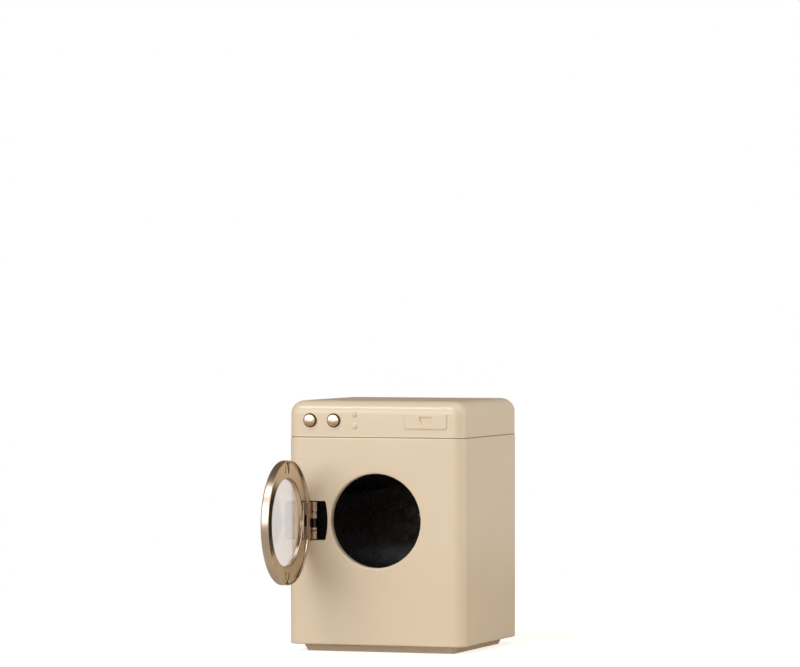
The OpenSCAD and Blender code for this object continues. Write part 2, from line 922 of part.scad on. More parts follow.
module door_shell() {
    color(NICKEL)
        swung()
            difference() {
                on_door()
                    rotate_extrude() {
                        translate([door_r - door_sheet, 0])
                            square([door_sheet, door_t - door_edge_r]);
                        translate([door_r - door_edge_r, door_t - door_edge_r])
                            quarter_ring(door_edge_r, door_sheet);
                        translate([window_r, door_t - door_sheet])
                            square([door_r - door_edge_r - window_r, door_sheet]);
                    }
                translate([hinge_x, hinge_y - leaf_face, hinge_z - 0.1])
                    cube([door_r, door_sheet + barrel_r, hinge_h + 0.2]);
            }
}

module door_window() {
    color(CLEAR)
        swung()
            on_door()
                translate([0, 0, pane_depth])
                    cylinder(r = window_r + window_seat, h = window_t);
}

// The ring's tab, cut free in the sheet, bent up through the leaf's slot and folded over
module ring_tab() {
    stem_x = slot_x0 + tab_fit;
    lap = leaf_land - leaf_t - tab_gap;
    lap_y = ring_y + leaf_t + tab_fit;
    translate([stem_x, ring_y - ring_t, slot_z + tab_play])
        cube([ring_t, lap_y + 2 * ring_t - ring_y, leaf_slot - 2 * tab_play]);
    translate([slot_x0 - lap, lap_y, slot_z + tab_play])
        cube([lap + tab_fit + ring_t, ring_t, leaf_slot - 2 * tab_play]);
}

module door_inner_ring() {
    hole_x = slot_x0 + tab_fit + ring_t;
    color(NICKEL)
        swung() {
            difference() {
                on_door()
                    rotate_extrude() {
                        translate([window_r, ring_inset])
                            square([rim_inner_r - ring_fit - window_r, ring_t]);
                        translate([window_r, ring_inset])
                            square([ring_t, pane_depth - ring_inset]);
                    }
                on_door()
                    for (turn = [0, 180], x = [-slit_pitch / 2, slit_pitch / 2])
                        rotate([0, 0, turn])
                            translate([x - slit_w / 2, window_r + slit_land, ring_inset - over])
                                cube([slit_w, rim_inner_r - window_r - slit_land, ring_t + 2 * over]);
                translate([hole_x, ring_y - ring_t - over, slot_z + tab_play])
                    cube([slot_x1 - tab_play - hole_x, ring_t + 2 * over, leaf_slot - 2 * tab_play]);
            }
            ring_tab();
        }
}

// ---- Knobs ----

module knob(x) {
    dome_h = knob_proud - knob_lift - knob_skirt;
    ball_r = (knob_d * knob_d / 4 + dome_h * dome_h) / (2 * dome_h);
    on_lid_front(x, control_z) {
        translate([0, 0, -sheet_t - stem_reach])
            cylinder(d = knob_stem_d, h = sheet_t + stem_reach + knob_lift + knob_skirt / 2);
        translate([0, 0, knob_lift])
            cylinder(d = knob_d, h = knob_skirt);
        translate([0, 0, knob_lift + knob_skirt])
            intersection() {
                translate([0, 0, dome_h - ball_r])
                    sphere(ball_r);
                cylinder(d = knob_d + 1, h = dome_h + over);
            }
    }
}

module knob_clip(x) {
    on_lid_front(x, control_z)
        translate([0, 0, -sheet_t - knob_clip_gap - clip_t])
            tube(knob_stem_d / 2 + 1.6, knob_stem_d / 2 + 0.02, clip_t);
}

module knob_left() {
    color(BRASS)
        knob(knob_left_x);
}

module knob_left_clip() {
    color(STEEL)
        knob_clip(knob_left_x);
}

module knob_right() {
    color(BRASS)
        knob(knob_right_x);
}

module knob_right_clip() {
    color(STEEL)
        knob_clip(knob_right_x);
}

case_wrap();
neck_band();
top_lid();
rear_panel();
rear_screws();
base_pan();
base_screws();
front_frame();
catch_magnet();
tub_front_ring();
tub();
tub_cradle();
frame_screws();
drum_bush();
drum();
drum_axle();
drum_washer();
axle_clip();
hinge_fixed_leaf();
hinge_screws();
hinge_pin();
hinge_door_leaf();
door_shell();
door_window();
door_inner_ring();
knob_left();
knob_left_clip();
knob_right();
knob_right_clip();
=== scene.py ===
"""Toy washing machine: the looks of its tin case, lid, windowed door, hinge, drum and knobs.

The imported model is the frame. Pieces with a plain shape there are built again here with rolled
edges, folds and embossing, small pieces get broken edges, and each surface gets its finish.
Lengths are in millimetres and become metres when a mesh is stored.
"""

import logging
import math
from collections.abc import Sequence
from dataclasses import dataclass, field
from enum import Enum

import bmesh
import bpy
from mathutils import Euler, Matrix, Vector
from mathutils.geometry import delaunay_2d_cdt


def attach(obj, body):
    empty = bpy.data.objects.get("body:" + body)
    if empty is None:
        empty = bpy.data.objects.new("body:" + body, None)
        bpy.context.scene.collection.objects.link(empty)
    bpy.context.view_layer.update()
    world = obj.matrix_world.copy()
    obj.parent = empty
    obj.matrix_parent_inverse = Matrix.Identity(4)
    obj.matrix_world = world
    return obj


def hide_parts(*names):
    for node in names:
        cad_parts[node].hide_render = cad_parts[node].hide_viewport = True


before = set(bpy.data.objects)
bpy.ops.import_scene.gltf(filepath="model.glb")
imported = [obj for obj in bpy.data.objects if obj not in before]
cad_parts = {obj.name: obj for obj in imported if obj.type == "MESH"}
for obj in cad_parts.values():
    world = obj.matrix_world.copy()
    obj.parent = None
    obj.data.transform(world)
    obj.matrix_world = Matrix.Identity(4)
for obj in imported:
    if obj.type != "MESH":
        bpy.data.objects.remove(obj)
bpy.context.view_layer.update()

MM = 0.001
LOG = logging.getLogger("toy_washer")

# Points closer than this, in millimetres, count as one.
TOUCH = 0.001
CORNER_STEPS = 10
# Faces that fold less than this are joined, and edges that fold more than the other stay crisp.
FLAT_DEG = 0.4
CREASE_DEG = 45.0

# Colour sockets of the Mix node, by number, because other sockets of it share their names.
MIX_A, MIX_B, MIX_OUT = 6, 7, 2
# Most of a noise pattern lies in this range, so patterns are spread out from it.
MIDDLE = {"From Min": 0.3, "From Max": 0.7}

Point2 = tuple[float, float]
Point3 = tuple[float, float, float]
Colour = tuple[float, float, float, float]
Inputs = dict[str | int, object]
Material = bpy.types.Material
Piece = bpy.types.Object
Socket = bpy.types.NodeSocket
Tree = bpy.types.NodeTree
Vert = bmesh.types.BMVert


# ---------------------------------------------------------------- colours and nodes


def linear(hex_colour: str) -> Colour:
    """Turns an sRGB hex colour into linear values.

    Args:
        hex_colour: Colour such as "#E2D2B8".

    Returns:
        Red, green and blue, linear, and an opacity of 1.
    """
    parts = [int(hex_colour[i : i + 2], 16) / 255 for i in (1, 3, 5)]
    red, green, blue = (c / 12.92 if c <= 0.04045 else ((c + 0.055) / 1.055) ** 2.4 for c in parts)
    return (red, green, blue, 1.0)


def per_metre(size_mm: float) -> float:
    """Returns the texture scale at which one feature of a pattern measures size_mm."""
    return 1.0 / (size_mm * MM)


def add_node(
    tree: Tree, kind: str, inputs: Inputs | None = None, out: str | int = 0, **settings: object
) -> Socket | None:
    """Adds one node with its settings, values and links.

    Args:
        tree: Node tree that gets the node.
        kind: Blender's name of the node type.
        inputs: Values by socket name or number; a socket as a value becomes a link.
        out: Name or number of the output to hand back.
        settings: Properties of the node itself.

    Returns:
        That output, or None for a node without outputs.
    """
    node = tree.nodes.new(kind)
    for name, value in settings.items():
        setattr(node, name, value)
    for key, value in (inputs or {}).items():
        if isinstance(value, Socket):
            tree.links.new(value, node.inputs[key])
        else:
            node.inputs[key].default_value = value
    return node.outputs[out] if node.outputs else None


def new_material(name: str) -> tuple[Material, Tree, Socket]:
    """Starts a material.

    Args:
        name: Name of the finish.

    Returns:
        The material, its empty tree and the place on the object.
    """
    material = bpy.data.materials.new(name)
    material.use_nodes = True
    tree = material.node_tree
    tree.nodes.clear()
    return material, tree, add_node(tree, "ShaderNodeTexCoord", out="Object")


def add_shader(material: Material, inputs: Inputs) -> Material:
    """Ends a material with its shader and output.

    Args:
        material: Material whose patterns are made.
        inputs: The shader's values and links.

    Returns:
        The material.
    """
    shader = add_node(material.node_tree, "ShaderNodeBsdfPrincipled", inputs)
    add_node(material.node_tree, "ShaderNodeOutputMaterial", {"Surface": shader})
    return material


# ---------------------------------------------------------------- finishes


@dataclass(frozen=True)
class Grain:
    """A pattern: the size of its features, how fine its detail goes and its depth in the surface."""

    size_mm: float
    detail: float
    depth_mm: float = 0.0

    def inputs(self, place: Socket) -> Inputs:
        """Returns what the noise node needs to lay this pattern on a place."""
        return {"Vector": place, "Scale": per_metre(self.size_mm), "Detail": self.detail}


@dataclass(frozen=True)
class PatternedFinish:
    """A finish whose gloss, tone and relief each follow a pattern.

    The gloss range is added to the roughness. A share of the second colour comes in with the tone's
    pattern, if there is one. Reliefs lie on each other in order, and values are other settings.
    """

    name: str
    colour: str
    roughness: float
    gloss: Grain
    gloss_range: Point2
    second_colour: str = ""
    tone: Grain | None = None
    tone_share: float = 0.0
    reliefs: tuple[Grain, ...] = ()
    values: tuple[tuple[str, float], ...] = ()

    def build(self) -> Material:
        """Builds the finish.

        Returns:
            The material.
        """
        material, tree, place = new_material(self.name)
        patterns = {}
        for grain in (self.gloss, self.tone, *self.reliefs):
            if grain and grain not in patterns:
                patterns[grain] = add_node(tree, "ShaderNodeTexNoise", grain.inputs(place))
        low, high = self.gloss_range
        inputs = {"To Min": self.roughness + low, "To Max": self.roughness + high}
        gloss = add_node(tree, "ShaderNodeMapRange", {"Value": patterns[self.gloss], **MIDDLE, **inputs})
        finish = {"Base Color": linear(self.colour), "Roughness": gloss, **dict(self.values)}
        if self.tone:
            inputs = {"Value": patterns[self.tone], **MIDDLE, "To Max": self.tone_share}
            share = add_node(tree, "ShaderNodeMapRange", inputs)
            inputs = {"Factor": share, MIX_A: linear(self.colour), MIX_B: linear(self.second_colour)}
            finish["Base Color"] = add_node(tree, "ShaderNodeMix", inputs, MIX_OUT, data_type="RGBA")
        for relief in self.reliefs:
            inputs = {"Height": patterns[relief], "Distance": relief.depth_mm * MM}
            if "Normal" in finish:
                inputs["Normal"] = finish["Normal"]
            finish["Normal"] = add_node(tree, "ShaderNodeBump", inputs)
        return add_shader(material, finish)


@dataclass(frozen=True)
class StovedEnamel(PatternedFinish):
    """Gloss enamel sprayed on tin sheet and baked: cream, with a faint orange peel and soft waves."""

    name: str = "stoved_enamel_on_tin"
    colour: str = "#E3D3BA"
    second_colour: str = "#DCCAAE"
    roughness: float = 0.24
    # Slow changes of the paint's thickness shift the cream a little.
    tone: Grain = Grain(44.2, 3.0)
    tone_share: float = 0.3
    # Handling marks show as slightly duller and slightly glossier patches.
    gloss: Grain = Grain(18.0, 5.0)
    gloss_range: Point2 = (-0.02, 0.03)
    # The sheet's own gentle waves bend long reflections, and the paint's orange peel lies on them.
    reliefs: tuple[Grain, ...] = (Grain(26.0, 1.0, 0.06), Grain(1.3, 2.0, 0.0035))


# Fine wear that the tone, the gloss and the relief of buffed metal share. Real wear marks are too
# fine to show, so they are drawn coarser.
BUFFED = Grain(0.5, 4.0, 0.002)


@dataclass(frozen=True)
class BuffedMetal(PatternedFinish):
    """Plain metal stock, plated or bare, with fine wear marks in every direction."""

    tone: Grain = BUFFED
    tone_share: float = 0.7
    gloss: Grain = BUFFED
    gloss_range: Point2 = (-0.04, 0.08)
    reliefs: tuple[Grain, ...] = (BUFFED,)
    values: tuple[tuple[str, float], ...] = (("Metallic", 1.0),)


@dataclass(frozen=True)
class MouldedPolystyrene(PatternedFinish):
    """Black polystyrene from a polished mould: near-black, glossy, with rubbed spots and sink marks."""

    name: str = "moulded_black_polystyrene"
    colour: str = "#12100F"
    second_colour: str = "#1F1B19"
    roughness: float = 0.2
    tone: Grain = Grain(3.0, 6.0)
    tone_share: float = 1.0
    gloss: Grain = Grain(3.0, 6.0)
    gloss_range: Point2 = (-0.05, 0.12)
    reliefs: tuple[Grain, ...] = (Grain(7.0, 1.0, 0.03),)


@dataclass(frozen=True)
class SprayedMattBlack(PatternedFinish):
    """Matt black paint over moulding: soaks up light, with a fine dry grain."""

    name: str = "matt_black_paint"
    colour: str = "#050404"
    roughness: float = 0.75
    # The dry grain is drawn coarser than real paint's, which is too fine to show.
    gloss: Grain = Grain(0.35, 3.0, 0.02)
    gloss_range: Point2 = (-0.1, 0.1)
    reliefs: tuple[Grain, ...] = (Grain(0.35, 3.0, 0.02),)
    # The dry paint mirrors much less than a smooth one.
    values: tuple[tuple[str, float], ...] = (("Specular IOR Level", 0.12),)


@dataclass(frozen=True)
class ClearAcrylic(PatternedFinish):
    """Die-cut clear acrylic: see-through with a faint grey-pink cast and dull patches from handling."""

    name: str = "clear_acrylic_sheet"
    colour: str = "#F7F1EE"
    roughness: float = 0.07
    gloss: Grain = Grain(5.0, 8.0)
    gloss_range: Point2 = (-0.03, 0.05)
    # Scuffed faces let a little less light through and mirror less than new sheet.
    values: tuple[tuple[str, float], ...] = (
        ("IOR", 1.49),
        ("Transmission Weight", 0.93),
        ("Specular IOR Level", 0.05),
    )


@dataclass(frozen=True)
class SpunNickel:
    """Nickel-plated steel, spun and buffed: warm grey metal with hair-fine rings about the door's axis."""

    name: str = "spun_nickel_plate"
    colour: str = "#D6C5B3"
    dull_colour: str = "#C2AF9B"
    roughness: float = 0.3
    # Real spinning marks are too fine to show, so the rings are drawn coarser.
    ring: Grain = Grain(0.22, 2.0, 0.0012)
    smudge: Grain = Grain(9.0, 4.0)
    smudge_share: float = 0.6
    # What the rings and the smudges add to the roughness, as shares of it.
    ring_gloss: Point2 = (-0.12, 0.15)
    smudge_gloss: Point2 = (0.88, 1.3)
    axis_y_mm: float = -79.0
    axis_z_mm: float = 68.1

    def build(self) -> Material:
        """Builds the finish.

        Returns:
            The material.
        """
        material, tree, place = new_material(self.name)
        # Distance from the door's axis drives the spinning marks.
        centre = (0.0, self.axis_y_mm * MM, self.axis_z_mm * MM)
        arm = add_node(tree, "ShaderNodeVectorMath", {0: place, 1: centre}, operation="SUBTRACT")
        flat = add_node(tree, "ShaderNodeVectorMath", {0: arm, 1: (0.0, 1.0, 1.0)}, operation="MULTIPLY")
        reach = add_node(tree, "ShaderNodeVectorMath", {0: flat}, "Value", operation="LENGTH")
        inputs = {"W": reach, "Scale": per_metre(self.ring.size_mm), "Detail": self.ring.detail}
        rings = add_node(tree, "ShaderNodeTexNoise", inputs, noise_dimensions="1D")
        smudge = add_node(tree, "ShaderNodeTexNoise", self.smudge.inputs(place))
        # Dull patches where the plating is thin or has been touched.
        share = add_node(tree, "ShaderNodeMapRange", {"Value": smudge, **MIDDLE, "To Max": self.smudge_share})
        inputs = {"Factor": share, MIX_A: linear(self.colour), MIX_B: linear(self.dull_colour)}
        tone = add_node(tree, "ShaderNodeMix", inputs, MIX_OUT, data_type="RGBA")
        parts = {}
        for i, (pattern, (low, high)) in enumerate(((rings, self.ring_gloss), (smudge, self.smudge_gloss))):
            inputs = {"To Min": low * self.roughness, "To Max": high * self.roughness}
            parts[i] = add_node(tree, "ShaderNodeMapRange", {"Value": pattern, **MIDDLE, **inputs})
        gloss = add_node(tree, "ShaderNodeMath", parts, operation="ADD")
        bump = add_node(tree, "ShaderNodeBump", {"Height": rings, "Distance": self.ring.depth_mm * MM})
        return add_shader(material, {"Base Color": tone, "Metallic": 1.0, "Roughness": gloss, "Normal": bump})


@dataclass(frozen=True)
class ChampagnePlating:
    """Bright plating on a brass dome: champagne white and speckled, with painted shade and reflection low
    down, where the dome's lower half is painted darker and browner in place of the dark floor it mirrors.
    """

    name: str = "champagne_plating_on_brass"
    colour: str = "#F8EEE2"
    speck_colour: str = "#DCC6A6"
    # Colour of the painted shade on the dome's lower half.
    lower_shade_colour: str = "#B89A6C"
    roughness: float = 0.3
    gloss_range: Point2 = (-0.05, 0.1)
    speck: Grain = Grain(0.9, 4.0, 0.01)
    speck_start: float = 0.42
    speck_end: float = 0.68
    # Painted shade on the lower half: the least of it in patchy spots, and the heights where it is full and
    # where it ends.
    lower_shade_least: float = 0.35
    full_shade_z_mm: float = 117.6
    no_shade_z_mm: float = 120.6

    def build(self) -> Material:
        """Builds the finish.

        Returns:
            The material.
        """
        material, tree, place = new_material(self.name)
        speck = add_node(tree, "ShaderNodeTexNoise", self.speck.inputs(place))
        # Specks all over, with painted shade on the dome's lower half: a darker brown that stands in for the
        # dark floor it mirrors, patchy with the specks.
        inputs = {"Value": speck, "From Min": self.speck_start, "From Max": self.speck_end}
        share = add_node(tree, "ShaderNodeMapRange", inputs)
        inputs = {"Factor": share, MIX_A: linear(self.colour), MIX_B: linear(self.speck_colour)}
        plated = add_node(tree, "ShaderNodeMix", inputs, MIX_OUT, data_type="RGBA")
        # The painted shade is full below one height and gone above another.
        height = add_node(tree, "ShaderNodeSeparateXYZ", {"Vector": place}, "Z")
        low, high = self.full_shade_z_mm * MM, self.no_shade_z_mm * MM
        inputs = {"Value": height, "From Min": low, "From Max": high, "To Min": 1.0, "To Max": 0.0}
        lower_half = add_node(tree, "ShaderNodeMapRange", inputs)
        patchy = add_node(tree, "ShaderNodeMapRange", {"Value": speck, **MIDDLE, "To Min": self.lower_shade_least})
        lower_shade = add_node(tree, "ShaderNodeMath", {0: lower_half, 1: patchy}, operation="MULTIPLY")
        inputs = {"Factor": lower_shade, MIX_A: plated, MIX_B: linear(self.lower_shade_colour)}
        tone = add_node(tree, "ShaderNodeMix", inputs, MIX_OUT, data_type="RGBA")
        low, high = self.gloss_range
        inputs = {"To Min": self.roughness + low, "To Max": self.roughness + high}
        gloss = add_node(tree, "ShaderNodeMapRange", {"Value": speck, **MIDDLE, **inputs})
        bump = add_node(tree, "ShaderNodeBump", {"Height": speck, "Distance": self.speck.depth_mm * MM})
        return add_shader(material, {"Base Color": tone, "Metallic": 1.0, "Roughness": gloss, "Normal": bump})


class Finish(Enum):
    """The finishes that the object wears."""

    ENAMEL = StovedEnamel()
    NICKEL = SpunNickel()
    # Inner ring of the door: pressed from bright-plated sheet, so it mirrors the front of the case.
    MIRROR = SpunNickel("bright_nickel_plate", "#E2D2BF", "#D2C0AA", 0.17, Grain(0.22, 2.0, 0.0004))
    # Rolled strip of the hinge: plated like the door, a little duller.
    STRIP = BuffedMetal("nickel_plated_strip", "#D3C1B0", 0.26, second_colour="#B9A691")
    # Domed knobs: bright plating with a champagne cast, and painted shade on their lower half.
    STUD = ChampagnePlating()
    # Flanks of the knobs: brass painted dark brown, a painted shade for the dark gap round each knob.
    EDGE = BuffedMetal("brass_painted_flank_shade", "#6B4C30", 0.34, second_colour="#4A3320")
    # Inside band that the lid sits on: metal painted dark brown, a painted shade that darkens the seam
    # between lid and case.
    SEAM_SHADE = BuffedMetal("tin_band_painted_seam_shade", "#5C4D3E", 0.5, second_colour="#46392D")
    # Pin of the door hinge: oiled steel, near black with a violet cast.
    OILED = BuffedMetal("oiled_steel_rod", "#5E5257", 0.3, second_colour="#403639")
    # Screws, clips, magnet and axle: zinc-plated steel, cool grey.
    ZINC = BuffedMetal("zinc_plated_steel", "#B5B3AF", 0.3, second_colour="#8F8D8A")
    # Bearing bush: drawn brass, dull yellow.
    BRASS = BuffedMetal("drawn_brass", "#C9A75C", 0.34, second_colour="#A5823F")
    BLACK = MouldedPolystyrene()
    MATT = SprayedMattBlack()
    CLEAR = ClearAcrylic()


class Wardrobe:
    """Builds each finish once and hands it out."""

    def __init__(self) -> None:
        """Starts with no finish built."""
        self._built: dict[Finish, Material] = {}

    def get(self, finish: Finish) -> Material:
        """Hands out a finish's material, built on first use.

        Args:
            finish: The finish that is wanted.

        Returns:
            Its material.
        """
        if finish not in self._built:
            self._built[finish] = finish.value.build()
        return self._built[finish]

    def dress(self, piece: Piece, finish: Finish) -> None:
        """Gives a piece one finish all over."""
        piece.data.materials.clear()
        piece.data.materials.append(self.get(finish))


# ---------------------------------------------------------------- mesh tools


class Side(Enum):
    """Where a round shape's axis points, as seen from the front of the machine."""

    BACK = "back"
    LEFT = "left"


def arc(centre: Point2, radius: float, start_deg: float, end_deg: float, steps: int) -> list[Point2]:
    """Finds points along an arc.

    Args:
        centre: Middle of the arc.
        radius: Its radius.
        start_deg: Angle of the first point.
        end_deg: Angle of the last point.
        steps: Segments between them.

    Returns:
        The steps + 1 points in order.
    """
    points = []
    for i in range(steps + 1):
        angle = math.radians(start_deg + (end_deg - start_deg) * i / steps)
        points.append((centre[0] + radius * math.cos(angle), centre[1] + radius * math.sin(angle)))
    return points


def curl(radius: float, end_deg: float, steps: int) -> list[Point2]:
    """Finds the course of a curled edge, which starts straight along.

    Args:
        radius: Radius of the curl.
        end_deg: Angle through which it turns.
        steps: Segments in it.

    Returns:
        How far in and how far along it has come after each segment, from (0, 0) on.
    """
    angles = [math.radians(end_deg * i / steps) for i in range(steps + 1)]
    return [(radius * (1 - math.cos(angle)), radius * math.sin(angle)) for angle in angles]


def rounded_outline(width: float, depth: float, radius: float, front_xs: Sequence[float]) -> list[Point2]:
    """Finds a rounded rectangle's points.

    Args:
        width: Size along X.
        depth: Size along Y.
        radius: Corner radius.
        front_xs: Places of the points between the ends of the front's straight stretch.

    Returns:
        The points, anticlockwise from the front's left end.
    """
    half_w = width / 2 - radius
    half_d = depth / 2 - radius
    points = [(-half_w, -depth / 2)]
    points += [(x, -depth / 2) for x in front_xs]
    for sx, sy, start in ((1, -1, -90), (1, 1, 0), (-1, 1, 90), (-1, -1, 180)):
        points += arc((sx * half_w, sy * half_d), radius, start, start + 90, CORNER_STEPS)
    return points[:-1]


class Draft:
    """A mesh in the making, in millimetres, that ends as a named piece on a body."""

    def __init__(self) -> None:
        """Starts with no faces."""
        self.mesh = bmesh.new()

    def row(self, points: Sequence[Point3]) -> list[Vert]:
        """Adds points and returns them as vertices."""
        return [self.mesh.verts.new(p) for p in points]

    def bridge(self, first: list[Vert], second: list[Vert], closed: bool = True) -> None:
        """Joins two rows of equal length with quads.

        Args:
            first: One row.
            second: The other row.
            closed: Whether each row's ends are joined too.
        """
        count = len(first)
        for i in range(count if closed else count - 1):
            j = (i + 1) % count
            self.mesh.faces.new((first[i], first[j], second[j], second[i]))

    def loft(self, rows: Sequence[Sequence[Point3]], closed: bool = True) -> list[list[Vert]]:
        """Joins many rows of points, one after the other.

        Args:
            rows: Points of each row.
            closed: Whether each row's ends are joined too.

        Returns:
            The vertices of each row.
        """
        made = [self.row(points) for points in rows]
        for first, second in zip(made, made[1:]):
            self.bridge(first, second, closed)
        return made

    def lathe(self, profile: Sequence[Point2], centre: Point3, side: Side, steps: int, closed: bool) -> None:
        """Turns a profile about an axis.

        Args:
            profile: Points as radius and distance along the axis.
            centre: Where the distance counts from.
            side: Direction of the axis.
            steps: Segments of the full turn.
            closed: Whether the profile's last point joins its first, as for a ring's section.
        """
        rows = []
        for i in range(steps):
            angle = math.tau * i / steps
            across, up = math.cos(angle), math.sin(angle)
            line = []
            for radius, along in profile:
                if side is Side.BACK:
                    line.append((centre[0] + radius * across, centre[1] + along, centre[2] + radius * up))
                else:
                    line.append((centre[0] - along, centre[1] + radius * across, centre[2] + radius * up))
            rows.append(self.row(line))
        for i in range(steps):
            self.bridge(rows[i], rows[(i + 1) % steps], closed)

    def fill(self, border: Sequence[Vert], holes: Sequence[Sequence[Vert]]) -> None:
        """Fills a flat front region.

        Args:
            border: Its outer corners.
            holes: Outlines of its holes, which bow outwards all round.
        """
        loops = [list(border), *[list(hole) for hole in holes]]
        verts = [vert for loop in loops for vert in loop]
        edges = []
        for loop in loops:
            start = verts.index(loop[0])
            edges += [(start + i, start + (i + 1) % len(loop)) for i in range(len(loop))]
        places = [Vector((vert.co.x, vert.co.z)) for vert in verts]
        # Output 1 keeps the faces inside the border, found to within a millionth of a millimetre.
        faces = delaunay_2d_cdt(places, edges, [], 1, 1e-6)[2]
        gaps = [{verts.index(vert) for vert in hole} for hole in holes]
        for face in faces:
            if not any(set(face) <= gap for gap in gaps):
                self.mesh.faces.new([verts[i] for i in face])

    def weld(self, gap: float = TOUCH) -> None:
        """Merges vertices that lie closer than gap, in millimetres, and turns all faces outwards."""
        bmesh.ops.remove_doubles(self.mesh, verts=self.mesh.verts, dist=gap)
        bmesh.ops.recalc_face_normals(self.mesh, faces=self.mesh.faces)

    def piece(self, name: str) -> Piece:
        """Stores the draft in metres.

        Args:
            name: Name of the new object.

        Returns:
            The new object.
        """
        bmesh.ops.scale(self.mesh, vec=(MM, MM, MM), verts=self.mesh.verts)
        data = bpy.data.meshes.new(name)
        self.mesh.to_mesh(data)
        self.mesh.free()
        piece = bpy.data.objects.new(name, data)
        bpy.context.scene.collection.objects.link(piece)
        return piece


def apply_modifiers(piece: Piece) -> None:
    """Turns a piece's modifiers into its mesh.

    Args:
        piece: Mesh object.
    """
    bpy.context.view_layer.update()
    graph = bpy.context.evaluated_depsgraph_get()
    data = bpy.data.meshes.new_from_object(piece.evaluated_get(graph))
    data.name = piece.name
    piece.modifiers.clear()
    piece.data = data


def harden(piece: Piece, edge_mm: float, break_deg: float = 30.0) -> None:
    """Breaks a piece's sharp edges and smooths the rest.

    Args:
        piece: Mesh object.
        edge_mm: Width of the broken edge, or 0 for none.
        break_deg: Edges that fold more than this are broken.
    """
    if edge_mm > 0:
        bevel = piece.modifiers.new("edge", "BEVEL")
        bevel.width = edge_mm * MM
        bevel.segments = 2
        bevel.limit_method = "ANGLE"
        bevel.angle_limit = math.radians(break_deg)
        bevel.miter_outer = "MITER_ARC"
    for polygon in piece.data.polygons:
        polygon.use_smooth = True
    piece.modifiers.new("normals", "WEIGHTED_NORMAL").keep_sharp = True
    apply_modifiers(piece)
    piece.data.set_sharp_from_angle(angle=math.radians(CREASE_DEG))


def thicken(piece: Piece, sheet_mm: float) -> None:
    """Gives a skin its sheet thickness, inwards from its outer face.

    Args:
        piece: Mesh object.
        sheet_mm: Thickness of the sheet.
    """
    solidify = piece.modifiers.new("sheet", "SOLIDIFY")
    solidify.thickness = sheet_mm * MM
    solidify.offset = -1.0
    solidify.use_even_offset = True
    apply_modifiers(piece)


def cut_away(piece: Piece, cutters: Sequence[Piece]) -> None:
    """Cuts the cutters' shapes out of a piece and deletes the cutters.

    Args:
        piece: Mesh object.
        cutters: Closed shapes in the places of the holes.
    """
    for cutter in cutters:
        cut = piece.modifiers.new("cut", "BOOLEAN")
        cut.operation = "DIFFERENCE"
        cut.solver = "EXACT"
        cut.object = cutter
    apply_modifiers(piece)
    for cutter in cutters:
        bpy.data.objects.remove(cutter)


def refined_copy(node: str, name: str, edge_mm: float) -> Piece:
    """Copies a frame node's shape into a new piece with broken edges.

    Args:
        node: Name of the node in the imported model.
        name: Name of the new piece.
        edge_mm: Width of the broken edges.

    Returns:
        The new piece, which stands for the node.
    """
    draft = Draft()
    mesh = draft.mesh
    mesh.from_mesh(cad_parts[node].data)
    mesh.transform(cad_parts[node].matrix_world)
    bmesh.ops.scale(mesh, vec=(1 / MM, 1 / MM, 1 / MM), verts=mesh.verts)
    draft.weld()
    bmesh.ops.dissolve_limit(mesh, angle_limit=math.radians(FLAT_DEG), verts=mesh.verts, edges=mesh.edges)
    piece = draft.piece(name)
    harden(piece, edge_mm)
    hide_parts(node)
    return piece


@dataclass
class Workshop:
    """Puts finished pieces on their bodies in their finishes, and reports them."""

    wardrobe: Wardrobe = field(default_factory=Wardrobe)

    def settle(self, piece: Piece, body: str, finish: Finish) -> None:
        """Dresses a piece and ties it to its body.

        Args:
            piece: Finished mesh object.
            body: Body that it moves with.
            finish: What it wears.
        """
        self.wardrobe.dress(piece, finish)
        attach(piece, body)
        LOG.info("%s rides on %s in %s", piece.name, body, finish.name.lower())

    def dress_node(self, node: str, finish: Finish) -> None:
        """Gives a node that is kept from the frame its finish.

        Args:
            node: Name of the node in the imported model.
            finish: What it wears.
        """
        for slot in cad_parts[node].material_slots:
            slot.material = self.wardrobe.get(finish)
        LOG.info("%s keeps its shape and wears %s", node, finish.name.lower())


# ---------------------------------------------------------------- case


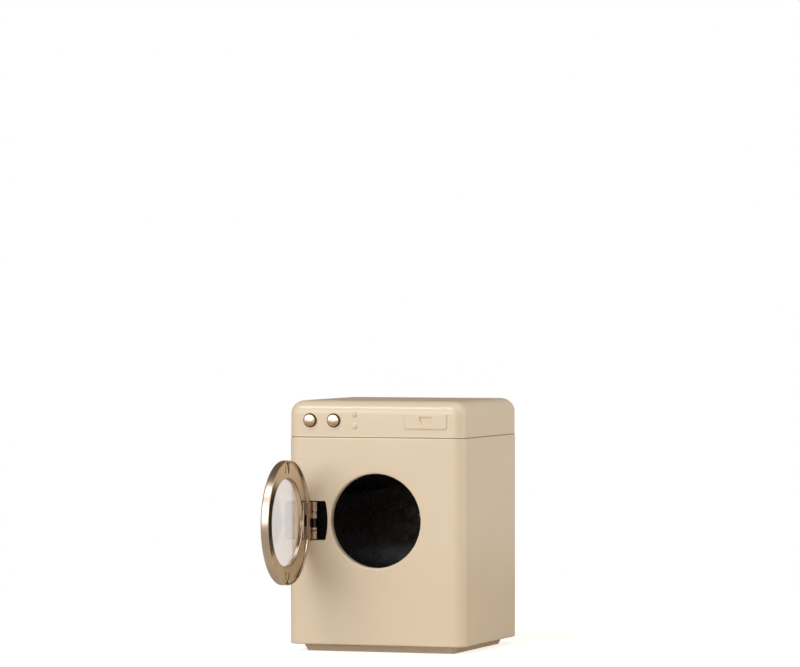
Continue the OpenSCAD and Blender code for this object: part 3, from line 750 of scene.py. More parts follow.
@dataclass
class Case:
    """The tin case: wrap with its opening and recess, neck band, rear panel, base pan and screws."""

    width: float = 96.0
    depth: float = 93.0
    corner_r: float = 6.0
    hem_corner_r: float = 0.6
    sheet: float = 0.5
    foot_z: float = 3.8
    top_z: float = 110.92
    top_roll: float = 1.0
    top_roll_deg: float = 50.0
    fold_r: float = 0.9
    fold_steps: int = 5
    hem: float = 5.3
    flange: float = 8.0
    opening_r: float = 24.3
    opening_z: float = 68.1
    lip_r: float = 1.0
    lip_depth: float = 4.0
    lip_steps: int = 6
    opening_steps: int = 128
    recess_left: float = -37.2
    recess_right: float = -26.3
    recess_low: float = 57.9
    recess_high: float = 78.0
    recess_bow_r: float = 45.0
    recess_corner_r: float = 0.9
    recess_roll_r: float = 0.45
    recess_depth: float = 0.6
    bow_steps: int = 12
    bow_corner_steps: int = 5
    left_corner_steps: int = 6
    edge: float = 0.12
    band_edge: float = 0.1
    screw_edge: float = 0.15

    @property
    def front_y(self) -> float:
        """Place of the front face."""
        return -self.depth / 2

    @property
    def wall_z(self) -> float:
        """Height at which the wall starts, over the hem's fold."""
        return self.foot_z + self.fold_r

    @property
    def brim_z(self) -> float:
        """Height at which the wrap's top edge starts to draw in."""
        return self.top_z - self.top_roll * math.sin(math.radians(self.top_roll_deg))

    def recess_loop(self) -> list[tuple[Point2, Point2]]:
        """Finds the recess's outline: straight at the left and bowed out at the right.

        Returns:
            Points (x, z), each with its outward normal.
        """
        corner = self.recess_corner_r
        middle = (self.recess_low + self.recess_high) / 2
        half = (self.recess_high - self.recess_low) / 2
        bow_x = self.recess_right - self.recess_bow_r
        bow_deg = math.degrees(math.asin((half - corner) / (self.recess_bow_r - corner)))
        bow_end = bow_x + (self.recess_bow_r - corner) * math.cos(math.radians(bow_deg))
        left = self.recess_left + corner
        low, high = self.recess_low + corner, self.recess_high - corner
        stretches = [
            ((bow_x, middle), self.recess_bow_r, -bow_deg, bow_deg, self.bow_steps),
            ((bow_end, high), corner, bow_deg, 90, self.bow_corner_steps),
            ((left, high), corner, 90, 180, self.left_corner_steps),
            ((left, low), corner, 180, 270, self.left_corner_steps),
            ((bow_end, low), corner, 270, 360 - bow_deg, self.bow_corner_steps),
        ]
        loop = []
        for centre, radius, start, end, steps in stretches:
            spots = arc(centre, radius, start, end, steps)
            normals = arc((0.0, 0.0), 1.0, start, end, steps)
            loop += list(zip(spots, normals))
        return loop[:-1]

    def rolled_edge(
        self, draft: Draft, loop: Sequence[tuple[Point2, Point2]], radius: float, depth: float
    ) -> list[Vert]:
        """Rolls the panel's edge into a hole.

        Args:
            draft: Mesh that gets the rolled edge.
            loop: Outline of the hole as points (x, z) with outward normals.
            radius: Radius of the roll.
            depth: How far back the edge reaches.

        Returns:
            The row of vertices in the panel's face.
        """
        rows = []
        for back, rise in curl(radius, 90.0, self.lip_steps):
            out = radius - rise
            rows.append([(x + nx * out, self.front_y + back, z + nz * out) for (x, z), (nx, nz) in loop])
        rows.append([(x, self.front_y + depth, z) for (x, z), _ in loop])
        return draft.loft(rows)[0]

    def build_front(self, draft: Draft) -> None:
        """Builds the flat front with the opening's lip and the recess.

        Args:
            draft: Mesh that gets the front.
        """
        circle = [
            ((self.opening_r * c, self.opening_z + self.opening_r * s), (c, s))
            for c, s in arc((0.0, 0.0), 1.0, 0.0, 360.0, self.opening_steps)[:-1]
        ]
        lip = self.rolled_edge(draft, circle, self.lip_r, self.lip_depth)
        recess = self.rolled_edge(draft, self.recess_loop(), self.recess_roll_r, self.recess_depth)
        half = self.width / 2 - self.corner_r
        corners = ((-half, self.wall_z), (half, self.wall_z), (half, self.brim_z), (-half, self.brim_z))
        draft.fill(draft.row([(x, self.front_y, z) for x, z in corners]), [lip, recess])

    def build_wrap(self) -> Piece:
        """Builds the sheet that makes the front and sides, with its hem, lip and recess.

        Returns:
            The piece, which stands for the wrap.
        """
        draft = Draft()
        self.build_front(draft)
        # Sides, rear corners and flanges: the right run starts at the front, and the left ends there.
        outline = rounded_outline(self.width, self.depth, self.corner_r, [])
        flange_x = self.width / 2 - self.corner_r - self.flange
        right = [p for p in outline[1:] if p[0] > 0] + [(flange_x, self.depth / 2)]
        left = [(-flange_x, self.depth / 2)] + [p for p in outline[1:] if p[0] < 0] + [outline[0]]
        for run in (right, left):
            draft.loft([[(x, y, z) for x, y in run] for z in (self.wall_z, self.brim_z)], closed=False)
        # Top edge, drawn in a little all the way round.
        brim = []
        for inset, rise in curl(self.top_roll, self.top_roll_deg, self.fold_steps):
            across, along = 1 - inset / (self.width / 2), 1 - inset / (self.depth / 2)
            brim.append([(x * across, y * along, self.brim_z + rise) for x, y in left + right])
        draft.loft(brim, closed=False)
        # Folded hem under the case.
        levels = [(inset, self.wall_z - drop) for inset, drop in curl(self.fold_r, 90.0, self.fold_steps)]
        rows = []
        for inset, z in [*levels, (self.hem, self.foot_z)]:
            corner = max(self.corner_r - inset, self.hem_corner_r)
            fold = rounded_outline(self.width - 2 * inset, self.depth - 2 * inset, corner, [])
            rows.append([(x, y, z) for x, y in fold])
        draft.loft(rows)
        draft.weld()
        piece = draft.piece("tin_case_wrap")
        thicken(piece, self.sheet)
        harden(piece, self.edge)
        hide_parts("case_wrap")
        return piece

    def make(self, shop: Workshop) -> None:
        """Builds and dresses the whole case.

        Args:
            shop: Where the pieces are settled.
        """
        shop.settle(self.build_wrap(), "cabinet", Finish.ENAMEL)
        for node, name, edge, slot, finish in (
            # The neck band wears painted shade for the seam.
            ("neck_band", "tin_neck_band", self.band_edge, "paint", Finish.SEAM_SHADE),
            ("rear_panel", "tin_rear_panel", self.edge, "paint", Finish.ENAMEL),
            ("base_pan", "tin_base_pan", self.edge, "paint", Finish.ENAMEL),
            ("rear_screws", "rear_panel_screws", self.screw_edge, "steel", Finish.ZINC),
            ("base_screws", "underside_screws", self.screw_edge, "steel", Finish.ZINC),
        ):
            shop.settle(refined_copy(node, name, edge), "cabinet", finish)


# ---------------------------------------------------------------- lid


@dataclass
class Lid:
    """The drawn tin lid, with its embossed drawer, pull and dots."""

    width: float = 95.56
    depth: float = 92.56
    corner_r: float = 5.8
    low_z: float = 111.5
    top_z: float = 130.0
    edge_r: float = 6.9
    edge_steps: int = 40
    top_corner_r: float = 0.9
    sheet: float = 0.5
    edge: float = 0.1
    break_deg: float = 50.0
    flare_r: float = 0.6
    flare_deg: float = 50.0
    flare_steps: int = 8
    # The mesh's lines are this close where something is embossed, and the wall's a little closer.
    fine_step: float = 0.16
    wall_extra: float = 1.2
    coarse_xs: tuple[float, ...] = (-36.0, -30.0, -24.0, -18.0, 0.0, 6.0, 12.0)
    corner_gap: float = 0.05
    # The front's relief ends at this share of the rounded edge.
    relief_end: float = 0.5
    control_z: float = 119.8
    dot_x: float = -11.4
    dot_r: float = 1.5
    dot_h: float = 0.8
    dot_pitch: float = 6.1
    dot_reach: float = 2.1
    # Shares of a dot's radius: middle of its slope, width of the slope and end of the relief.
    dot_brow: float = 0.72
    dot_slope: float = 1.1
    dot_end: float = 1.3
    drawer_x: float = 27.2
    drawer_z: float = 119.5
    drawer_w: float = 22.9
    drawer_h: float = 7.8
    drawer_corner_r: float = 1.1
    drawer_relief: float = 0.6
    drawer_slope: float = 0.9
    drawer_margin: float = 0.6
    pull_r: float = 3.1
    pull_h: float = 4.0
    pull_depth: float = 0.9
    pull_slope: float = 0.5
    stem_xs: Point2 = (-35.7, -22.8)
    stem_hole_r: float = 1.25
    stem_hole_reach: float = 2.0
    stem_hole_steps: int = 32

    @property
    def flare_h(self) -> float:
        """Height of the flare at the lid's foot."""
        return self.flare_r * math.sin(math.radians(self.flare_deg))

    @staticmethod
    def step(distance: float, slope: float) -> float:
        """Returns 1 well inside an outline, 0 well outside it, and a smooth slope between."""
        t = min(max(0.5 - distance / slope, 0.0), 1.0)
        return t * t * (3 - 2 * t)

    def relief(self, x: float, z: float) -> float:
        """Finds how far the lid's front stands out at a point.

        Args:
            x: Place across the front.
            z: Height.

        Returns:
            The height of the relief.
        """
        # Drawer shape: a raised field with round corners.
        corner = self.drawer_corner_r
        dx = abs(x - self.drawer_x) - self.drawer_w / 2 + corner
        dz = abs(z - self.drawer_z) - self.drawer_h / 2 + corner
        outside = math.hypot(max(dx, 0.0), max(dz, 0.0)) + min(max(dx, dz), 0.0) - corner
        height = self.drawer_relief * self.step(outside, self.drawer_slope)
        # Half-round pull, flat edge up, sunk into the drawer shape.
        pull_top = self.control_z + self.pull_h / 2
        centre_z = pull_top - (self.pull_h - self.pull_r)
        px, pz = x - self.drawer_x, z - centre_z
        round_part = math.hypot(px, min(pz, 0.0)) - self.pull_r
        pull = max(round_part, abs(px) - self.pull_r, z - pull_top)
        height -= self.pull_depth * self.step(pull, self.pull_slope)
        # Two round dots.
        for side in (-1, 1):
            reach = math.hypot(x - self.dot_x, z - self.control_z - side * self.dot_pitch / 2)
            if reach < self.dot_r * self.dot_end:
                outside = reach - self.dot_r * self.dot_brow
                height += self.dot_h * self.step(outside, self.dot_r * self.dot_slope)
        return height

    def emboss(self, x: float, y: float, z: float, inset: float) -> float:
        """Finds the relief at any point of the lid.

        Args:
            x: Place across the front.
            y: Place along the depth.
            z: Height.
            inset: How far the outline is drawn in at this height.

        Returns:
            The height of the relief, which is 0 away from the front.
        """
        on_front = abs(y + self.depth / 2 - inset) < TOUCH and z < self.top_z - self.edge_r * self.relief_end
        return self.relief(x, z) if on_front else 0.0

    def front_places(self) -> list[float]:
        """Finds the places of the mesh's lines across the front.

        Returns:
            The places in order, close together where something is embossed.
        """
        places = list(self.coarse_xs)
        drawer_reach = self.drawer_w / 2 + self.drawer_margin
        for middle, reach in ((self.dot_x, self.dot_reach), (self.drawer_x, drawer_reach)):
            count = math.ceil(2 * reach / self.fine_step)
            places += [middle - reach + 2 * reach * i / count for i in range(count + 1)]
        return sorted(places)

    def squeezed(self, xs: Sequence[float], inset: float, radius: float) -> list[float]:
        """Keeps the front's lines inside its straight stretch.

        Args:
            xs: Places of the lines, in order.
            inset: How far the outline is drawn in.
            radius: Radius of its corners.

        Returns:
            The places, drawn together where the stretch is too short for them.
        """
        half = self.width / 2 - inset - radius - self.corner_gap
        widest = max(abs(xs[0]), abs(xs[-1]))
        share = 1.0 if widest < half else half / widest
        return [x * share for x in xs]

    def levels(self) -> list[Point2]:
        """Finds the heights of the mesh's lines round the lid.

        Returns:
            How far the outline is drawn in and its height, from the flare up over the rounded edge.
        """
        flare = curl(self.flare_r, self.flare_deg, self.flare_steps)
        levels = [(-out, self.low_z + self.flare_h - drop) for out, drop in reversed(flare)]
        start, end = self.low_z + self.flare_h, self.top_z - self.edge_r
        count = math.ceil((end - start + self.wall_extra) / self.fine_step)
        levels += [(0.0, start + (end - start) * i / count) for i in range(1, count + 1)]
        return levels + [(inset, end + rise) for inset, rise in curl(self.edge_r, 90.0, self.edge_steps)[1:]]

    def build(self) -> Piece:
        """Builds the lid: a wall with a faint flare at its foot, a rounded edge and a flat top.

        Returns:
            The piece, which stands for the lid.
        """
        xs = self.front_places()
        rows = []
        for inset, z in self.levels():
            share = max(inset, 0.0) / self.edge_r
            radius = self.corner_r + (self.top_corner_r - self.corner_r) * share
            places = self.squeezed(xs, inset, radius)
            width, depth = self.width - 2 * inset, self.depth - 2 * inset
            outline = rounded_outline(width, depth, radius - min(inset, 0.0), places)
            rows.append([(x, y - self.emboss(x, y, z, inset), z) for x, y in outline])
        draft = Draft()
        draft.mesh.faces.new(draft.loft(rows)[-1])
        draft.weld()
        piece = draft.piece("tin_lid")
        thicken(piece, self.sheet)
        harden(piece, self.edge, self.break_deg)
        cut_away(piece, [self.stem_cutter(x) for x in self.stem_xs])
        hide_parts("top_lid")
        return piece

    def stem_cutter(self, x: float) -> Piece:
        """Builds a rod that cuts the hole for one knob's stem.

        Args:
            x: Place of the stem across the front.

        Returns:
            The rod.
        """
        draft = Draft()
        radius, reach = self.stem_hole_r, self.stem_hole_reach
        profile = [(0.0, -reach), (radius, -reach), (radius, reach), (0.0, reach)]
        centre = (x, -self.depth / 2, self.control_z)
        draft.lathe(profile, centre, Side.BACK, self.stem_hole_steps, closed=False)
        draft.weld()
        return draft.piece("stem_cutter")

    def make(self, shop: Workshop) -> None:
        """Builds and dresses the lid."""
        shop.settle(self.build(), "cabinet", Finish.ENAMEL)


# ---------------------------------------------------------------- door


@dataclass
class Door:
    """The door as it stands open at rest: shell, window and inner ring, turned about the axis along X."""

    centre_y: float = -79.0
    centre_z: float = 68.1
    rim_x: float = -35.1
    outer_r: float = 31.9
    thickness: float = 4.4
    sheet: float = 0.6
    edge_r: float = 0.9
    roll_r: float = 1.1
    round_steps: int = 6
    inner_steps: int = 4
    window_r: float = 22.5
    window_t: float = 0.8
    window_seat: float = 3.0
    window_edge: float = 0.08
    window_gap: float = 0.02
    ring_t: float = 0.5
    ring_inset: float = 1.25
    ring_wall_r: float = 31.2
    ring_lap: float = 0.06
    ring_rise: float = 0.6
    ring_slope_w: float = 0.8
    ring_slope_steps: int = 5
    ring_slope_power: float = 1.6
    # Places of the mesh's lines on the ring's face, counted from where the slits start.
    ring_lines: Point3 = (-0.4, 1.5, 3.5)
    neck_r: float = 0.9
    neck_taper: float = 0.3
    neck_bevel: float = 0.3
    slit_w: float = 1.5
    slit_l: float = 10.0
    slit_pitch: float = 4.3
    slit_start: float = 25.1
    cut_above: float = 1.2
    cut_below: float = 1.0
    tongue_drop: float = 1.1
    tongue_power: float = 1.5
    tongue_skin: float = 0.05
    slot_near: float = -51.21
    slot_far: float = -54.1
    slot_low: float = 65.1
    slot_high: float = 70.8
    tab_t: float = 0.4
    tab_lap: float = 0.95
    tab_top: float = 0.2
    tab_tip_r: float = 0.1
    tab_tip_taper: float = 0.05
    tab_end: float = 0.4
    tab_edge: float = 0.06
    steps: int = 160
    weld_gap: float = 0.0005

    @property
    def pane_depth(self) -> float:
        """Depth of the pane's near face behind the rim's edge."""
        return self.thickness - self.sheet - self.window_t

    @property
    def centre(self) -> Point3:
        """Middle of the rim's edge."""
        return (self.rim_x, self.centre_y, self.centre_z)

    def build_shell(self) -> Piece:
        """Builds the outer shell: a rim, a rounded edge and a front flange rolled in at the window.

        Returns:
            The piece, which stands for the shell.
        """
        roll, rim, steps = self.roll_r, self.sheet / 2, self.round_steps
        corner = (self.outer_r - self.edge_r, self.thickness - self.edge_r)
        window = (self.window_r + roll, self.thickness - roll)
        outer = arc(corner, self.edge_r, 0, 90, steps)
        front = arc(window, roll, 90, 180, steps)
        inner_front = arc(window, roll - self.sheet, 180, 90, steps)
        inner = arc(corner, self.edge_r - self.sheet, 90, 0, self.inner_steps)
        edge = arc((self.outer_r - rim, rim), rim, 180, 360, steps)
        profile = edge + outer + front + inner_front + inner
        draft = Draft()
        draft.lathe(profile, self.centre, Side.LEFT, self.steps, closed=True)
        draft.weld(self.weld_gap)
        piece = draft.piece("door_rim_shell")
        harden(piece, 0.0)
        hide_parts("door_shell")
        return piece

    def ring_profile(self) -> list[Point2]:
        """Finds the inner ring's section: a neck turned down to the pane, a flat face and a raised rim.

        Returns:
            Points as radius and depth behind the rim's edge.
        """
        face, back, wall = self.ring_inset, self.ring_inset + self.ring_t, self.ring_wall_r
        neck, inner, foot = self.neck_r, self.window_r + self.ring_t, self.pane_depth - self.window_gap
        lines = [self.slit_start + shift for shift in self.ring_lines]
        profile = [(self.window_r - self.neck_taper, foot)]
        profile += arc((self.window_r + neck, face + neck), neck, 180, 270, self.round_steps)
        profile += [(r, face) for r in lines]
        for i in range(self.ring_slope_steps + 1):
            t = i / self.ring_slope_steps
            rise = self.ring_rise * t**self.ring_slope_power
            profile.append((wall - self.ring_slope_w * (1 - t), face - rise))
        wall_r, bevel = wall + self.ring_lap, self.neck_bevel
        profile += [(wall_r, face - self.ring_rise), (wall_r, face), (wall - self.ring_slope_w, back)]
        profile += [(r, back) for r in reversed(lines)]
        return profile + [(inner + bevel, back), (inner, back + bevel), (inner, foot)]

    def build_ring(self) -> Piece:
        """Builds the inner ring, with two tongues between slits and the slot for its tab.

        Returns:
            The piece, which stands for the ring.
        """
        draft = Draft()
        draft.lathe(self.ring_profile(), self.centre, Side.LEFT, self.steps, closed=True)
        self.press_tongues(draft)
        draft.weld(self.weld_gap)
        ring = draft.piece("door_bright_ring")
        shift, reach = self.slit_pitch / 2, self.slit_start + self.slit_l / 2
        holes = [
            (self.centre_y + across * shift, self.centre_z + side * reach, self.slit_w, self.slit_l)
            for side in (-1, 1)
            for across in (-1, 1)
        ]
        middle = ((self.slot_near + self.slot_far) / 2, (self.slot_low + self.slot_high) / 2)
        holes.append((*middle, self.slot_near - self.slot_far, self.slot_high - self.slot_low))
        cut_away(ring, [self.cutter(*hole) for hole in holes])
        harden(ring, 0.0)
        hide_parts("door_inner_ring")
        return ring

    def press_tongues(self, draft: Draft) -> None:
        """Presses the tongues between the slits down towards the rim, above and below the window.

        Args:
            draft: The ring's mesh before its slits are cut.
        """
        reach = self.ring_wall_r - self.slit_start
        for vert in draft.mesh.verts:
            across = abs(vert.co.y - self.centre_y)
            rise = abs(vert.co.z - self.centre_z) - self.slit_start
            behind_face = self.rim_x - vert.co.x > self.ring_inset - self.tongue_skin
            if across < self.slit_pitch / 2 and rise > 0 and behind_face:
                vert.co.x -= self.tongue_drop * (rise / reach) ** self.tongue_power

    def cutter(self, y: float, z: float, width: float, height: float) -> Piece:
        """Builds a box that cuts a hole through the ring's face.

        Args:
            y: Middle of the hole.
            z: Height of its middle.
            width: Size along Y.
            height: Size along Z.

        Returns:
            The box.
        """
        draft = Draft()
        corners = [
            (self.rim_x - depth, y + dy * width / 2, z + dz * height / 2)
            for depth in (self.ring_inset - self.cut_above, self.ring_inset + self.ring_t + self.cut_below)
            for dy, dz in ((-1, -1), (1, -1), (1, 1), (-1, 1))
        ]
        for end in draft.loft([corners[:4], corners[4:]]):
            draft.mesh.faces.new(end)
        draft.weld()
        return draft.piece("hole_cutter")

    def build_tab(self) -> Piece:
        """Builds the ring's tab: bent up through the leaf's slot and folded over towards the hinge.

        Returns:
            The piece.
        """
        thick, top, near, tip = self.tab_t, self.tab_top, self.slot_near, self.tab_tip_r
        foot, under = self.ring_inset + self.ring_t, self.tab_top + self.tab_t
        outline = [(near, foot)] + arc((near + thick, under), thick, 180, 270, 5)
        outline += arc((near + self.tab_lap - tip, top + tip), tip, 270, 360, 3)
        outline += [(near + self.tab_lap, under - self.tab_tip_taper), (near + thick + tip, under)]
        outline += [(near + thick, under + tip), (near + thick, foot)]
        heights = (self.slot_low, self.slot_low + self.tab_end, self.slot_high - self.tab_end, self.slot_high)
        draft = Draft()
        made = draft.loft([[(self.rim_x - depth, y, z) for y, depth in outline] for z in heights])
        draft.mesh.faces.new(made[0])
        draft.mesh.faces.new(made[-1])
        draft.weld()
        piece = draft.piece("door_ring_tab")
        harden(piece, self.tab_edge)
        return piece

    def build_window(self) -> Piece:
        """Builds the clear pane, with its cut edge broken.

        Returns:
            The piece, which stands for the window.
        """
        near, far = self.pane_depth, self.pane_depth + self.window_t
        radius = self.window_r + self.window_seat
        draft = Draft()
        profile = [(0.0, near), (radius, near), (radius, far), (0.0, far)]
        draft.lathe(profile, self.centre, Side.LEFT, self.steps, closed=False)
        draft.weld(self.weld_gap)
        piece = draft.piece("door_clear_pane")
        harden(piece, self.window_edge)
        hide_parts("door_window")
        return piece

    def make(self, shop: Workshop) -> None:
        """Builds and dresses the door.

        Args:
            shop: Where the pieces are settled.
        """
        shop.settle(self.build_shell(), "door", Finish.NICKEL)
        shop.settle(self.build_ring(), "door", Finish.MIRROR)
        shop.settle(self.build_tab(), "door", Finish.MIRROR)
        shop.settle(self.build_window(), "door", Finish.CLEAR)


# ---------------------------------------------------------------- hinge, inner unit and knobs


@dataclass
class Hinge:
    """The butt hinge: two leaves with rolled knuckles, the pin and the screws."""

    edge: float = 0.1

    def make(self, shop: Workshop) -> None:
        """Refines and dresses the hinge's pieces.

        Args:
            shop: Where the pieces are settled.
        """
        for node, name, body, slot, finish in (
            ("hinge_fixed_leaf", "hinge_leaf_on_case", "cabinet", "nickel", Finish.STRIP),
            ("hinge_door_leaf", "hinge_leaf_on_door", "door", "nickel", Finish.STRIP),
            ("hinge_pin", "hinge_steel_pin", "cabinet", "steel", Finish.OILED),
        ):
            shop.settle(refined_copy(node, name, self.edge), body, finish)
        shop.dress_node("hinge_screws", Finish.ZINC)


@dataclass
class InnerUnit:
    """What sits in the case: front frame, tub, cradle, drum and its bearing."""

    edge: float = 0.2

    def make(self, shop: Workshop) -> None:
        """Refines what shows through the opening and dresses the rest.

        Args:
            shop: Where the pieces are settled.
        """
        for node, name, body, finish in (
            ("front_frame", "moulded_front_frame", "cabinet", Finish.MATT),
            ("drum", "moulded_drum", "drum", Finish.BLACK),
        ):
            shop.settle(refined_copy(node, name, self.edge), body, finish)
        shop.dress_node("tub_front_ring", Finish.MATT)
        for node in ("tub", "tub_cradle"):
            shop.dress_node(node, Finish.BLACK)
        for node in ("catch_magnet", "frame_screws", "drum_axle", "drum_washer", "axle_clip"):
            shop.dress_node(node, Finish.ZINC)
        shop.dress_node("drum_bush", Finish.BRASS)


@dataclass
class Knobs:
    """The two domed knobs and their clips."""

    lid_y: float = -46.5
    height: float = 119.8
    left_x: float = -35.7
    right_x: float = -22.8
    radius: float = 3.6
    proud: float = 1.9
    lift: float = 0.15
    flank_h: float = 0.6
    # The flank's rounded foot, its room round the stem, its lap under the dome and its straight top.
    foot_r: float = 0.15
    foot_steps: int = 3
    stem_gap: float = 0.1
    dome_lap: float = 0.12
    flank_top: float = 0.25
    dome_r: float = 3.0
    dome_steps: int = 14
    shoulder_r: float = 0.6
    shoulder_deg: float = 55.0
    shoulder_steps: int = 5
    # Shares of the shoulder's radius: the dome's rise, where it stops short and how deep the shoulder lies.
    dome_rise: float = 0.75
    dome_short: float = 0.55
    shoulder_sink: float = 0.8
    stem_r: float = 1.2
    stem_l: float = 2.9
    steps: int = 72

    def turned(self, x: float, name: str, profile: Sequence[Point2], closed: bool) -> Piece:
        """Turns a profile about one knob's axis.

        Args:
            x: Place of the axis.
            name: Name of the piece.
            profile: Points as radius and distance behind the lid's face.
            closed: Whether the profile's last point joins its first.

        Returns:
            The piece.
        """
        draft = Draft()
        draft.lathe(profile, (x, self.lid_y, self.height), Side.BACK, self.steps, closed)
        draft.weld()
        piece = draft.piece(name)
        harden(piece, 0.0)
        return piece

    def dome_profile(self) -> list[Point2]:
        """Finds the bright part's section: stem, back, a rolled shoulder and a low dome.

        Returns:
            Points as radius and distance behind the lid's face.
        """
        rim, brow, back = self.dome_r, self.shoulder_r, -self.lift - self.flank_h
        rise = brow * self.dome_rise
        ball_r = (rim**2 + rise**2) / (2 * rise)
        reach_deg = math.degrees(math.asin((rim - brow * self.dome_short) / ball_r))
        dome = arc((0.0, ball_r - self.proud), ball_r, -90 + reach_deg, -90, self.dome_steps)
        middle = (rim - brow, dome[0][1] + brow * self.shoulder_sink)
        shoulder = arc(middle, brow, 0, -self.shoulder_deg, self.shoulder_steps)
        stem = [(0.0, self.stem_l), (self.stem_r, self.stem_l), (self.stem_r, back), (rim, back)]
        return stem + shoulder + dome

    def flank_profile(self) -> list[Point2]:
        """Finds the section of the flank, which wears painted shade: a collar that widens towards the lid.

        Returns:
            Points as radius and distance behind the lid's face.
        """
        low, high, inside = -self.lift, -self.lift - self.flank_h, self.stem_r + self.stem_gap
        foot = arc((self.radius - self.foot_r, low - self.foot_r), self.foot_r, 90, 0, self.foot_steps)
        return [(inside, low)] + foot + [(self.dome_r + self.dome_lap, high - self.flank_top), (inside, high)]

    def make(self, shop: Workshop) -> None:
        """Builds and dresses both knobs and their clips.

        Args:
            shop: Where the pieces are settled.
        """
        for x, body in ((self.left_x, "knob_left"), (self.right_x, "knob_right")):
            dome = self.turned(x, f"{body}_dome", self.dome_profile(), closed=False)
            flank = self.turned(x, f"{body}_flank", self.flank_profile(), closed=True)
            # The flank wears painted shade.
            for piece, finish in ((dome, Finish.STUD), (flank, Finish.EDGE)):
                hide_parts(body)
                shop.settle(piece, body, finish)
            shop.dress_node(f"{body}_clip", Finish.ZINC)


# ---------------------------------------------------------------- studio


@dataclass(frozen=True)
class Lamp:
    """One soft lamp: its turn from the front (right is positive), its rise, distance, face and power."""

    name: str
    turn_deg: float
    rise_deg: float
    distance_m: float
    width_m: float
    height_m: float
    watts: float
    colour: str = "#FFFFFF"


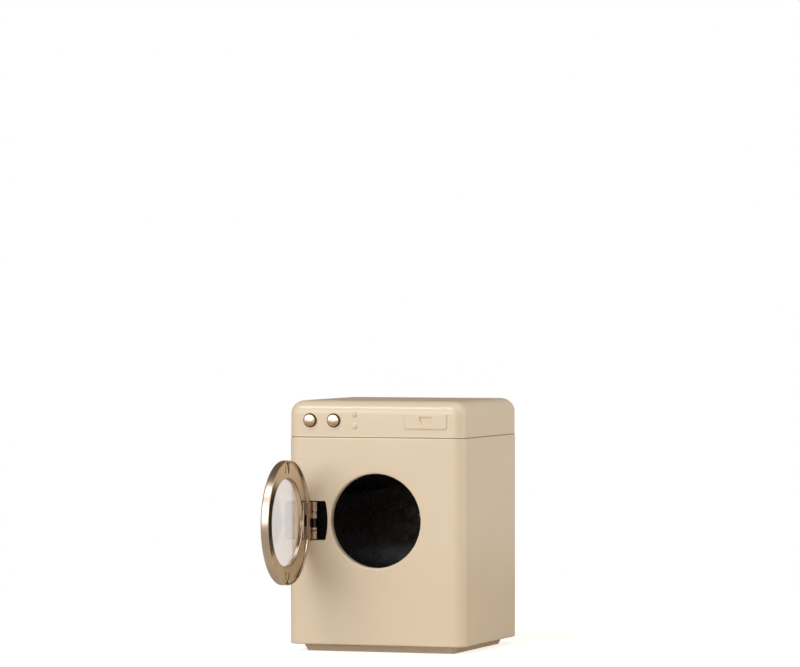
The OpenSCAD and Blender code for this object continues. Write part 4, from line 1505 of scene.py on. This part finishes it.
@dataclass
class Studio:
    """Pale floor, soft lamps, white surround and the camera."""

    lamps: tuple[Lamp, ...] = (
        Lamp("main_softbox", -19.0, 18.0, 1.4, 1.2, 0.8, 10.3),
        Lamp("key_softbox", -30.0, 54.0, 1.3, 0.42, 0.22, 3.4),
        Lamp("top_softbox", 75.0, 68.0, 1.4, 1.0, 0.9, 3.2),
        Lamp("right_strip", 11.0, 5.0, 2.4, 0.22, 0.6, 0.6),
        Lamp("right_fill", 98.0, 15.0, 1.4, 1.1, 1.0, 7.5, "#FFF9F1"),
    )
    aim_mm: Point3 = (0.0, -20.0, 70.0)

    floor_size_m: float = 30.0
    floor_colour: str = "#DED6CC"
    floor_roughness: Point2 = (0.85, 0.95)
    paper: Grain = Grain(2.0, 2.0)
    floor_lift: float = 0.72
    fade_start_m: float = 0.12
    fade_end_m: float = 0.55

    white: str = "#FFFFFF"
    black: str = "#000000"
    fill_colour: str = "#FFF3E4"
    ambient: float = 0.22
    dusk_low: str = "#8C7763"
    dusk_high: str = "#6A5848"
    dusk_top: float = 0.7
    rear_level: float = 0.5
    rear_start: float = 0.6
    rear_end: float = 0.9
    rear_aim: Point3 = (0.6, 0.8, 0.0)

    lens_mm: float = 221.13
    sensor_mm: float = 36.0
    view_end_m: float = 60.0
    camera_place: Point3 = (819.4, -2440.9, 188.3)
    camera_turn_deg: float = 18.604
    camera_tilt_deg: float = 0.533

    def add_lamp(self, lamp: Lamp) -> None:
        """Adds a soft rectangular lamp that faces the machine's middle.

        Args:
            lamp: Where it stands, how large and how bright it is.
        """
        turn, rise = math.radians(lamp.turn_deg), math.radians(lamp.rise_deg)
        arm = Vector((math.sin(turn) * math.cos(rise), -math.cos(turn) * math.cos(rise), math.sin(rise)))
        data = bpy.data.lights.new(lamp.name, "AREA")
        data.shape = "RECTANGLE"
        data.size, data.size_y = lamp.width_m, lamp.height_m
        data.energy = lamp.watts
        data.color = linear(lamp.colour)[:3]
        made = bpy.data.objects.new(lamp.name, data)
        made.location = Vector(self.aim_mm) * MM + arm * lamp.distance_m
        made.rotation_euler = (-arm).to_track_quat("-Z", "Y").to_euler()
        made.visible_camera = False
        bpy.context.scene.collection.objects.link(made)

    def mirrored_surround(self, tree: Tree, spot: Socket) -> Socket:
        """Finds the colour of the far surround in reflections: a warm dusk, and pale at the right rear.

        Args:
            tree: Node tree of the world or the floor.
            spot: Direction of the ray in the world, or place on the floor in metres.

        Returns:
            The colour's socket.
        """
        height = add_node(tree, "ShaderNodeSeparateXYZ", {"Vector": spot}, "Z")
        rise = add_node(tree, "ShaderNodeMapRange", {"Value": height, "From Max": self.dusk_top})
        inputs = {"Factor": rise, MIX_A: linear(self.dusk_low), MIX_B: linear(self.dusk_high)}
        dusk = add_node(tree, "ShaderNodeMix", inputs, MIX_OUT, data_type="RGBA")
        inputs = {0: spot, 1: self.rear_aim}
        rearward = add_node(tree, "ShaderNodeVectorMath", inputs, "Value", operation="DOT_PRODUCT")
        inputs = {"From Min": self.rear_start, "From Max": self.rear_end, "To Max": self.rear_level}
        level = add_node(tree, "ShaderNodeMapRange", {"Value": rearward, **inputs})
        inputs = {"Factor": level, MIX_A: dusk, MIX_B: linear(self.white)}
        return add_node(tree, "ShaderNodeMix", inputs, MIX_OUT, data_type="RGBA")

    def seen_share(self, tree: Tree) -> Socket:
        """Tells rays that show the surround directly or through clear pieces from all others.

        Args:
            tree: Node tree of the world or the floor.

        Returns:
            The socket, which gives 1 for such rays and 0 for others.
        """
        inputs = {
            0: add_node(tree, "ShaderNodeLightPath", out="Is Camera Ray"),
            1: add_node(tree, "ShaderNodeLightPath", out="Is Transmission Ray"),
        }
        return add_node(tree, "ShaderNodeMath", inputs, operation="MAXIMUM")

    def build_world(self) -> None:
        """Builds the surround: white where it is seen, dim as light, and its own colours in reflections."""
        world = bpy.data.worlds.new("studio_surround")
        world.use_nodes = True
        tree = world.node_tree
        tree.nodes.clear()
        aim = add_node(tree, "ShaderNodeTexCoord", out="Generated")
        gloss = add_node(tree, "ShaderNodeLightPath", out="Is Glossy Ray")
        red, green, blue = (level * self.ambient for level in linear(self.fill_colour)[:3])
        inputs = {"Factor": gloss, MIX_A: (red, green, blue, 1.0), MIX_B: self.mirrored_surround(tree, aim)}
        light = add_node(tree, "ShaderNodeMix", inputs, MIX_OUT, data_type="RGBA")
        inputs = {"Factor": self.seen_share(tree), MIX_A: light, MIX_B: linear(self.white)}
        seen = add_node(tree, "ShaderNodeMix", inputs, MIX_OUT, data_type="RGBA")
        back = add_node(tree, "ShaderNodeBackground", {"Color": seen})
        add_node(tree, "ShaderNodeOutputWorld", {"Surface": back})
        bpy.context.scene.world = world

    def build_paper(self) -> Material:
        """Builds the floor's material, which runs out into the surround and keeps its shadows.

        Returns:
            The material.
        """
        material, tree, place = new_material("matt_studio_paper")
        grain = add_node(tree, "ShaderNodeTexNoise", self.paper.inputs(place))
        low, high = self.floor_roughness
        inputs = {"Value": grain, **MIDDLE, "To Min": low, "To Max": high}
        matt = add_node(tree, "ShaderNodeMapRange", inputs)
        # The paper's own colour fades out with distance, both to the eye and in reflections.
        reach = add_node(tree, "ShaderNodeVectorMath", {0: place}, "Value", operation="LENGTH")
        inputs = {"Value": reach, "From Min": self.fade_start_m, "From Max": self.fade_end_m}
        fade = add_node(tree, "ShaderNodeMapRange", inputs)
        seen = self.seen_share(tree)
        gloss = add_node(tree, "ShaderNodeLightPath", out="Is Glossy Ray")
        looked = add_node(tree, "ShaderNodeMath", {0: seen, 1: gloss}, operation="MAXIMUM")
        share = add_node(tree, "ShaderNodeMath", {0: fade, 1: looked}, operation="MULTIPLY")
        inputs = {"Factor": share, MIX_A: linear(self.floor_colour), MIX_B: linear(self.black)}
        paper = add_node(tree, "ShaderNodeMix", inputs, MIX_OUT, data_type="RGBA")
        # Seen directly it is lifted, fully so far out; reflections see the surround's colour far out.
        inputs = {"Factor": seen, MIX_A: self.mirrored_surround(tree, place), MIX_B: linear(self.white)}
        glow = add_node(tree, "ShaderNodeMix", inputs, MIX_OUT, data_type="RGBA")
        lift = add_node(tree, "ShaderNodeMapRange", {"Value": fade, "To Min": self.floor_lift})
        lifted = add_node(tree, "ShaderNodeMath", {0: lift, 1: seen}, operation="MULTIPLY")
        mirrored = add_node(tree, "ShaderNodeMath", {0: fade, 1: gloss}, operation="MULTIPLY")
        strength = add_node(tree, "ShaderNodeMath", {0: lifted, 1: mirrored}, operation="MAXIMUM")
        inputs = {"Base Color": paper, "Roughness": matt, "Specular IOR Level": 0.0}
        return add_shader(material, {**inputs, "Emission Color": glow, "Emission Strength": strength})

    def build_floor(self) -> None:
        """Builds the pale floor."""
        draft = Draft()
        half = self.floor_size_m / 2 / MM
        corners = ((-half, -half, 0), (half, -half, 0), (half, half, 0), (-half, half, 0))
        draft.mesh.faces.new(draft.row(corners))
        floor = draft.piece("studio_floor")
        floor.data.materials.append(self.build_paper())

    def build_camera(self) -> None:
        """Builds the camera: a long lens, low and to the right."""
        data = bpy.data.cameras.new("view")
        data.lens = self.lens_mm
        data.sensor_width = self.sensor_mm
        data.clip_end = self.view_end_m
        camera = bpy.data.objects.new("view", data)
        camera.location = Vector(self.camera_place) * MM
        pitch, turn = math.radians(90 - self.camera_tilt_deg), math.radians(self.camera_turn_deg)
        camera.rotation_euler = Euler((pitch, 0.0, turn))
        bpy.context.scene.collection.objects.link(camera)
        bpy.context.scene.camera = camera

    def make(self) -> None:
        """Builds the whole studio."""
        bpy.context.scene.view_settings.view_transform = "Standard"
        self.build_world()
        self.build_floor()
        self.build_camera()
        for lamp in self.lamps:
            self.add_lamp(lamp)


def main() -> None:
    """Builds the studio and each sub-assembly in turn."""
    logging.basicConfig(level=logging.INFO, format="%(name)s: %(message)s")
    Studio().make()
    shop = Workshop()
    for part in (Case(), Lid(), Door(), Hinge(), InnerUnit(), Knobs()):
        part.make(shop)


if __name__ == "__main__":
    main()
